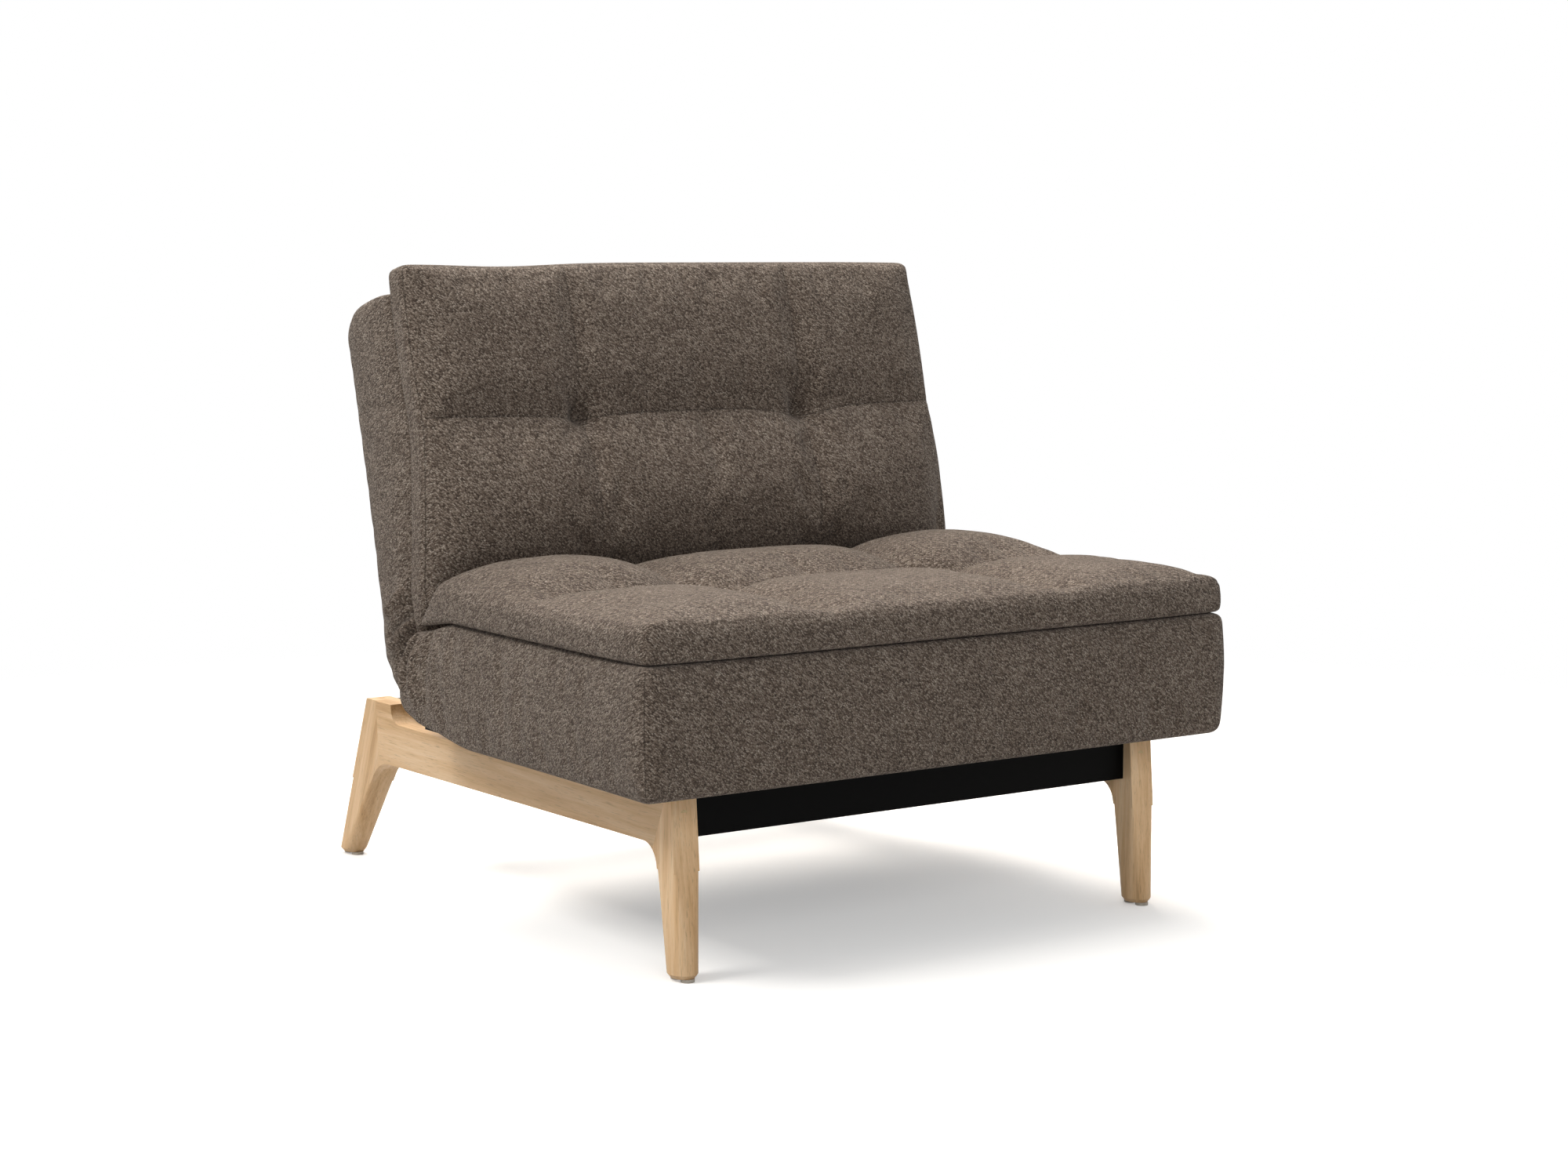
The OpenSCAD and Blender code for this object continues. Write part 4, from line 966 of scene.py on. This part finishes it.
seat_pad = pad("seat_pad_cover", SEAT_WIDTH, SEAT_PAD_LENGTH, round_top=SEAT_ROUND, slope=SEAT_SLOPE,
               pinch=0.0, corner=SEAT_CORNER, row=SEAT_ROW, top_sheet=seat_sheet, sag=seat_sag,
               widen=seat_spread)

# %% Rear corners, seams and place of the seat pad
LIP_BACK = 0.024
LIP_DOWN = 0.006
LIP_ACROSS = (0.425, 0.440)
LIP_ALONG = (0.535, 0.575)
LIP_BELOW = (0.012, 0.030)

co = points(seat_pad)
lip = (ramp_up(np.abs(co[:, 0]), *LIP_ACROSS) * ramp_up(co[:, 1], *LIP_ALONG)
       * ramp_up(-co[:, 2], *LIP_BELOW))
co[:, 1] += LIP_BACK * lip
co[:, 2] -= LIP_DOWN * lip
set_points(seat_pad, co)
sew_pad(seat_pad, straight_seam, seam_depth=0.0012, upright_depth=0.0010, pit=0.006, pleat=0.0013)
# No painted shade along the seat pad's border: its lengths are pushed out of the shader's reach.
across, along, border = seam_marks(seat_pad).T
mark_seams(seat_pad, across, along, border + 1.0)
seat_pad.data.transform(Matrix.Translation((0, -DEPTH_HALF, SEAT_PAD_TOP)))
finish_soft(seat_pad, ("seat_pad",))

# %% [markdown]
# ## Back pad
# The back pad is narrower and its channels are flatter. The whole back sinks towards the crease, but its
# lower puffs stay out. The seam across it isn't straight, as the tufts pull it down, the right one more.
# Its right side stands further out, and the left part of its top edge dips. A mirrored half would be less
# work, but soft things are never quite alike on both sides, and these differences show in the photograph.

# %% Back pad's sheet
BACK_WIDTH = 0.836
BACK_FAR = 0.640 + 0.498 + 0.030 - DEPTH_HALF
BACK_PAD_TOP = 0.4253
BACK_PAD_LENGTH = 0.457
BACK_SLOPE = math.radians(44.2)
BACK_ROUND = (0.013, 0.014, 0.011)
BACK_PINCH = 0.004
BACK_CORNER = 0.002
BACK_ROW = 0.213
BACK_CROWN = 0.016
BACK_CHANNEL = (0.001, 0.009, 0.034)
BACK_TUFT = (0.018, 0.020)
TUFT_LEAN = 1.7
BACK_PUFF = 0.016
PUFF_MIDDLE = 0.190
PUFF_BREADTH = 0.070
PUFF_LOW = 0.080
PUFF_HIGH = 0.145
BACK_DIP = 0.045
DIP_START = 0.300
DIP_FULL = 0.100
DIP_POWER = 1.6


def dip(from_hinge):
    """How far the back's layers sink towards the crease, at a distance from the hinge line."""
    share = np.clip((DIP_START - from_hinge) / (DIP_START - DIP_FULL), 0, 1)
    return BACK_DIP * share ** DIP_POWER


def from_hinge(y):
    """Distance from the hinge line of a point of the back pad, y from its free end."""
    return BACK_FAR - y - HINGE.y


def back_sag(y):
    """How far the back pad sinks with the layer under it."""
    return dip(from_hinge(y))


def back_sheet(x, y):
    """Height of the back pad's top sheet: its lower puffs stay out where the sides sink."""
    d = from_hinge(y)
    puff = BACK_PUFF * bell((d - PUFF_MIDDLE) / PUFF_BREADTH) + dip(d) * ramp_up(d, PUFF_LOW, PUFF_HIGH)
    return (pad_height(x, y, BACK_WIDTH, BACK_PAD_LENGTH, BACK_CROWN, BACK_ROW, BACK_CHANNEL, BACK_TUFT,
                       TUFT_LEAN)
            + puff * shared_fade(x, y, BACK_WIDTH, BACK_PAD_LENGTH) ** CROWN_POWER)


print("the back sinks by up to", BACK_DIP * 1000, "mm")

# %% Back pad's sides and seam
RIGHT_AT = (0.13, 0.20, 0.31, 0.50)
RIGHT_OUT = (0.033, 0.020, 0.006, -0.003)
LEFT_OUT = 0.003
SIDES_IN = 0.004
SEAM_LINE = 0.210
SEAM_BOW = 0.003
TUFT_PULL = (0.012, 0.005)
PULL_BREADTH = 0.06


def back_seam(x):
    """Line of the seam across the back pad: it drops from its ends to the tufts."""
    tufts = np.where(x > 0, *TUFT_PULL) * bell((np.abs(x) - TUFT_X) / PULL_BREADTH)
    return SEAM_LINE + SEAM_BOW * (1 - np.abs(2 * x / BACK_WIDTH) ** 4) + tufts


def back_spread(a, y):
    """How far the sides stand out, more at the lower puffs, and more on the right than on the left."""
    right = np.interp(from_hinge(y), RIGHT_AT, RIGHT_OUT)
    return np.where(a > 0, a ** 2 * right, a * LEFT_OUT) - SIDES_IN


back_pad = pad("back_pad_cover", BACK_WIDTH, BACK_PAD_LENGTH, round_top=BACK_ROUND, slope=BACK_SLOPE,
               pinch=BACK_PINCH, corner=BACK_CORNER, row=BACK_ROW, top_sheet=back_sheet, sag=back_sag,
               widen=back_spread)

# %% Seams, top edge and place of the back pad
EDGE_DIP = 0.005
EDGE_DIP_X = -0.27
EDGE_DIP_BREADTH = 0.10
EDGE_DIP_REACH = 0.12

# Painted shade along its seams and its border comes from the lengths marked by the sewing.
sew_pad(back_pad, back_seam, seam_depth=0.0030, upright_depth=0.0018, pit=0.012, pleat=0.0010)
co = points(back_pad)
dipped = bell((co[:, 0] - EDGE_DIP_X) / EDGE_DIP_BREADTH)
co[:, 1] += EDGE_DIP * dipped * np.clip(1 - co[:, 1] / EDGE_DIP_REACH, 0, 1)
co[:, 1] = BACK_FAR - co[:, 1]
co[:, 2] += BACK_PAD_TOP
set_points(back_pad, co)
back_pad.data.flip_normals()
rise(back_pad)
finish_soft(back_pad, ("back_pad",))

# %% [markdown]
# ## Base layers
# Under each pad lies a thick sprung layer with upright sides. Its sides draw in a little between the
# corners, its lower edges are round, and one plain seam closes the cover at each front corner; on the
# seat's layer it is drawn as a line of painted shade. Both layers start from the same slab.

# %% Base layer lying flat
BASE_CELL = 0.009
BASE_GROWTH = 0.012
BASE_CAP = 0.005
DRAWN_IN = 0.004
BOW_POWER = 8
EDGE_GRIP = 0.12
FLAT_FROM = 0.9


def base_layer(name, width, length, height, radii_top, radii_low):
    """Thick slab lying flat, from y = 0 and z = 0, with each point's place as shares of its half size."""
    obj = block(name, (width, length, height), BASE_CELL)
    flat = points(obj)
    co = rounded_box(flat, (width / 2, length / 2, height / 2), radii_top, radii_low)
    # Distance from the seam at each front corner, for the painted shade along it.
    corner = np.hypot(width / 2 - np.abs(flat[:, 0]), length / 2 + flat[:, 1])
    mark_seams(obj, corner, corner, corner)
    a, b, c = shares = co.T / (np.array([[width], [length], [height]]) / 2)
    out = -DRAWN_IN + DRAWN_IN * np.clip(1 - c * c, 0, 1)
    co[:, 0] -= np.sign(a) * DRAWN_IN * np.abs(a) ** BOW_POWER * np.clip(1 - b * b, 0, 1)
    co[:, 0] += np.sign(a) * out * np.abs(a) ** BOW_POWER
    co[:, 1] += np.sign(b) * out * np.abs(b) ** BOW_POWER
    co[:, 1] += length / 2
    co[:, 2] += height / 2
    set_points(obj, co)
    return obj, np.abs(shares)


def held_flat(c):
    """Share by which the top, the bottom and their edges are held while the sides swell."""
    return np.maximum(bell((1 - c) / EDGE_GRIP), (c > FLAT_FROM) * 1.0)


# %% Folds on the sides
# Scale and least value of the lengths that set the painted shade in the fold valleys.
CREASE_SHARE = 0.16
CREASE_LEAST = 0.0005


def fold_side(obj, co, y, z, folds, facing_side):
    """Pushes the side out and in along its folds, and returns each point's length for the painted shade in
    the fold valleys.
    """
    pulled = sum(out * bell(line_distance(y, z, path) / breadth) for path, out, breadth in folds)
    co[:, 0] += np.sign(co[:, 0]) * facing_side * pulled
    creases = np.minimum.reduce([line_distance(y, z, path) for path, out, breadth in folds if out < 0])
    print(obj.name, "folds stand out by", round(float((facing_side * pulled).max()) * 1000, 1),
          "mm and sink by", round(float(-(facing_side * pulled).min()) * 1000, 1), "mm")
    # Painted shade: lengths that darken the cover within a few millimetres of each fold valley, on the sides
    # only.
    return CREASE_SHARE * creases + CREASE_LEAST + 1 - facing_side


# %% [markdown]
# ## Seat base
# The seat's thick layer sits on the frame between the legs, and outside them its cover hangs a little
# lower. Its rear end slopes under the crease and is rounded off below, where the back swings past it. The
# hinge gathers the cloth of its sides, so they wave a little towards the rear and fold at the crease.

# %% Seat base
SEAT_BASE_LOW = 0.236
SEAT_BASE_TOP = 0.390
SEAT_BASE_HEIGHT = SEAT_BASE_TOP - SEAT_BASE_LOW
SEAT_REAR = 0.620
SIDE_GRIP = 0.03
FRONT_GRIP = 0.04

seat_base, (a, b, c) = base_layer("seat_base_cover", SEAT_WIDTH + 2 * WIDER, SEAT_REAR, SEAT_BASE_HEIGHT,
                                  radii_top=(0.010, 0.012, 0.010), radii_low=(0.012, 0.012, 0.016))
uprights = bell((1 - a) / SIDE_GRIP) * bell((1 - b) / FRONT_GRIP)
swell(seat_base, np.maximum(uprights, held_flat(c)), BASE_GROWTH, BASE_CAP)
finer(seat_base)

# %% Rear end, hanging cover and crease of the seat base
REAR_SHARE = 0.62
REAR_GAP = 0.002
REAR_ROUND = 0.076
REAR_LONG = 0.090
RAIL_OUTSIDE = 0.376
FRONT_LEG_FACE = 0.060
HANG = 0.007
HANG_NEAR = 0.004
HANG_FAR = 0.030
HANG_HEIGHT = 0.05
HANG_LIFT = 1.9
LIFT_STEP = (0.44, 0.56)
SINK = 0.020
SINK_STEP = (0.470, 0.575)
SINK_FROM = 0.3


def shape_rear(co):
    """Slopes the rear end under the crease, and rounds it off below."""
    under_crease = np.clip((co[:, 2] + SEAT_BASE_LOW - HINGE.z) / math.tan(SEAT_SLOPE) - REAR_GAP, 0, 1)
    co[:, 1] -= np.clip(co[:, 1] / SEAT_REAR, 0, 1) ** END_POWER * under_crease * REAR_SHARE
    past = np.clip(co[:, 1] - (SEAT_REAR - REAR_LONG), 0, REAR_LONG) / REAR_LONG
    low = np.clip((REAR_ROUND - co[:, 2]) / REAR_ROUND, 0, 1)
    pull = 1 - 1 / np.maximum(1, np.hypot(past, low))
    co[:, 1] -= past * pull * REAR_LONG
    co[:, 2] += low * pull * REAR_ROUND


def hang_cover(co):
    """Lets the cover hang below the frame outside the legs and rails, and lifts it at the rear."""
    outside = np.maximum(
        ramp_up(np.abs(co[:, 0]), RAIL_OUTSIDE + HANG_NEAR, RAIL_OUTSIDE + HANG_FAR),
        ramp_up(-co[:, 1], -FRONT_LEG_FACE + HANG_NEAR, -FRONT_LEG_FACE + HANG_FAR))
    lifted = 1 - HANG_LIFT * ramp_up(co[:, 1], *LIFT_STEP)
    co[:, 2] -= HANG * outside * (1 - ramp_up(co[:, 2], 0.0, HANG_HEIGHT)) * lifted


def sink_into_crease(co, upper):
    """Sinks the top into the crease under the pad's end."""
    co[:, 2] -= SINK * ramp_up(co[:, 1], *SINK_STEP) * ramp_up(upper, SINK_FROM, 1.0)


co = points(seat_base)
upper = np.clip(co[:, 2] / SEAT_BASE_HEIGHT, 0, 1)
shape_rear(co)
hang_cover(co)
sink_into_crease(co, upper)
print("seat base from", round(float(co[:, 2].min() + SEAT_BASE_LOW), 3), "m above the floor")

# %% Waves and folds of the seat base
WAVE_HEIGHT = 0.0014
LONG_WAVE = 0.043
SHORT_WAVE = 0.027
WAVES_START = 0.34
WAVES_FULL = 0.60
SEAT_FOLDS = [
    # points (from the front edge, above the floor), how far it stands out, breadth
    (((0.534, 0.372), (0.537, 0.330), (0.540, 0.280)), -0.006, 0.007),
    (((0.555, 0.366), (0.567, 0.335), (0.570, 0.289)), 0.005, 0.008),
    (((0.570, 0.362), (0.583, 0.335), (0.585, 0.310)), -0.009, 0.007),
    (((0.584, 0.357), (0.600, 0.324), (0.596, 0.297)), 0.006, 0.007),
]


def wave_side(co, upper, facing_side):
    """Slack of the cloth on the sides, in two uneven waves that grow towards the rear."""
    wave = (np.sin(co[:, 1] * 2 * math.pi / LONG_WAVE + 6 * co[:, 2])
            + 0.5 * np.sin(co[:, 1] * 2 * math.pi / SHORT_WAVE + 2))
    grown = ramp_up(co[:, 1], WAVES_START, WAVES_FULL) * WAVE_HEIGHT * np.sin(np.pi * upper) ** 0.7
    co[:, 0] += np.sign(co[:, 0]) * facing_side * wave * grown


facing_side = np.clip(np.abs(normals(seat_base)[:, 0]) * 2 - 1, 0, 1)
wave_side(co, upper, facing_side)
creases = fold_side(seat_base, co, co[:, 1], co[:, 2] + SEAT_BASE_LOW, SEAT_FOLDS, facing_side)
corner = seam_marks(seat_base)[:, 2]
# Painted shade darkens the cover along the seam at each front corner and in the fold valleys of the sides.
mark_seams(seat_base, corner + 1, corner + 1, np.minimum(corner, creases))
set_points(seat_base, co)
seat_base.data.transform(Matrix.Translation((0, -DEPTH_HALF, SEAT_BASE_LOW)))
finish_soft(seat_base, ("seat_base_cushion",))

# %% [markdown]
# ## Back base and hinge gusset
# The back's thick layer goes on below the hinge line in a gusset of the same cloth, which closes the side
# under the crease and lets the back rise and fall. A separate piece would leave a gap or cut through the
# seat, so it is the last part of the same slab, bent like a fan about the hinge line. It lies in folds
# that run out from the crease.

# %% Back base lying flat
BACK_LENGTH = 0.498
BACK_LOW = 0.239
BACK_BASE_TOP = 0.382
BACK_BASE_HEIGHT = BACK_BASE_TOP - BACK_LOW
BACK_WIDER = 0.009
FAN = 0.072
END_GAP = 0.0015
FREE_FROM = 0.04

back_base, shares = base_layer("back_base_cover", BACK_WIDTH + 2 * BACK_WIDER, BACK_LENGTH - END_GAP + FAN,
                               BACK_BASE_HEIGHT, radii_top=(0.008, 0.004, 0.005),
                               radii_low=(0.008, 0.010, 0.010))
co = points(back_base)
co[:, 1] -= FAN
set_points(back_base, co)
in_gusset = 1 - ramp_up(co[:, 1], 0.0, FREE_FROM)
swell(back_base, np.maximum(held_flat(shares[2]), in_gusset), BASE_GROWTH, BASE_CAP)
finer(back_base)

# %% Slab above the hinge, gusset below it
SINK_POWER = 1.5
TOP_ROUND = 0.034
TOP_ROUND_LONG = 0.055
TUCK = 0.011
TUCK_LONG = 0.016
REAR_FULL = 0.0033
FULL_AT = 0.04
FULL_LONG = 0.03
FAN_TURN = math.radians(88)
REACH_START = 0.060
REACH_LEAST = 0.044
REACH_FALL = 0.25
REACH_POWER = 1.5
REACH_END = 0.006
END_FROM = 0.6
INNER_START = 0.027
INNER_LEAST = 0.004
INNER_TO = 0.35


def slab(co, share):
    """Above the hinge: the top sinks with the pad, the end slopes from the crease and tucks in below."""
    ahead = np.clip(co[:, 1], 0, None)
    z = co[:, 2] + BACK_LOW - HINGE.z - dip(ahead) * share ** SINK_POWER
    under_crease = np.clip(z / math.tan(BACK_SLOPE), 0, 1)
    y = ahead + np.clip(1 - ahead / BACK_LENGTH, 0, 1) ** END_POWER * under_crease
    rear_top = ramp_up(ahead, BACK_LENGTH - TOP_ROUND_LONG, BACK_LENGTH)
    tucked = TUCK * bell(ahead / TUCK_LONG) - REAR_FULL * bell((ahead - FULL_AT) / FULL_LONG)
    return y, z + TOP_ROUND * rear_top ** 2 * (1 - share) ** 2 + tucked * (1 - share)


def reach(turned):
    """How far the gusset stands out from the hinge line, at a share of its turn."""
    return (REACH_LEAST + (REACH_START - REACH_LEAST) * np.exp(-(turned / REACH_FALL) ** REACH_POWER)
            + REACH_END * ramp_up(turned, END_FROM, 1.0))


def gusset(co, share):
    """Past the hinge: a fan about the hinge line."""
    turned = np.clip(-co[:, 1] / FAN, 0, 1)
    inner = INNER_START * (1 - ramp_up(turned, 0.0, INNER_TO)) + INNER_LEAST
    radius = -reach(turned) + (reach(turned) + inner) * share
    return radius * np.sin(turned * FAN_TURN), radius * np.cos(turned * FAN_TURN)


co = points(back_base)
share = np.clip(co[:, 2] / BACK_BASE_HEIGHT, 0, 1)
y, z = np.where(co[:, 1] < 0, gusset(co, share), slab(co, share))
set_points(back_base, np.stack([co[:, 0], y + HINGE.y + END_GAP, z + HINGE.z], 1))
rise(back_base)
print("gusset reaches from", REACH_START * 1000, "to", REACH_LEAST * 1000, "mm")

# %% Folds of the gusset
BACK_FOLDS = [
    (((0.656, 0.408), (0.672, 0.395), (0.684, 0.385)), 0.010, 0.008),
    (((0.634, 0.414), (0.639, 0.384), (0.672, 0.357), (0.688, 0.349)), -0.010, 0.008),
    (((0.612, 0.383), (0.644, 0.367), (0.680, 0.342)), 0.011, 0.008),
    (((0.604, 0.365), (0.640, 0.346), (0.659, 0.323), (0.669, 0.309)), -0.010, 0.008),
    (((0.622, 0.348), (0.646, 0.314), (0.660, 0.302)), 0.009, 0.008),
    (((0.600, 0.395), (0.603, 0.371)), -0.012, 0.014),
]

co = points(back_base)
facing_side = np.clip(np.abs(normals(back_base)[:, 0]) * 2 - 0.6, 0, 1)
creases = fold_side(back_base, co, co[:, 1] + DEPTH_HALF, co[:, 2], BACK_FOLDS, facing_side)
# Painted shade darkens the cover in the fold valleys of the gusset.
mark_seams(back_base, creases + 1, creases + 1, creases)
set_points(back_base, co)
finish_soft(back_base, ("back_base_cushion", "back_lining"))
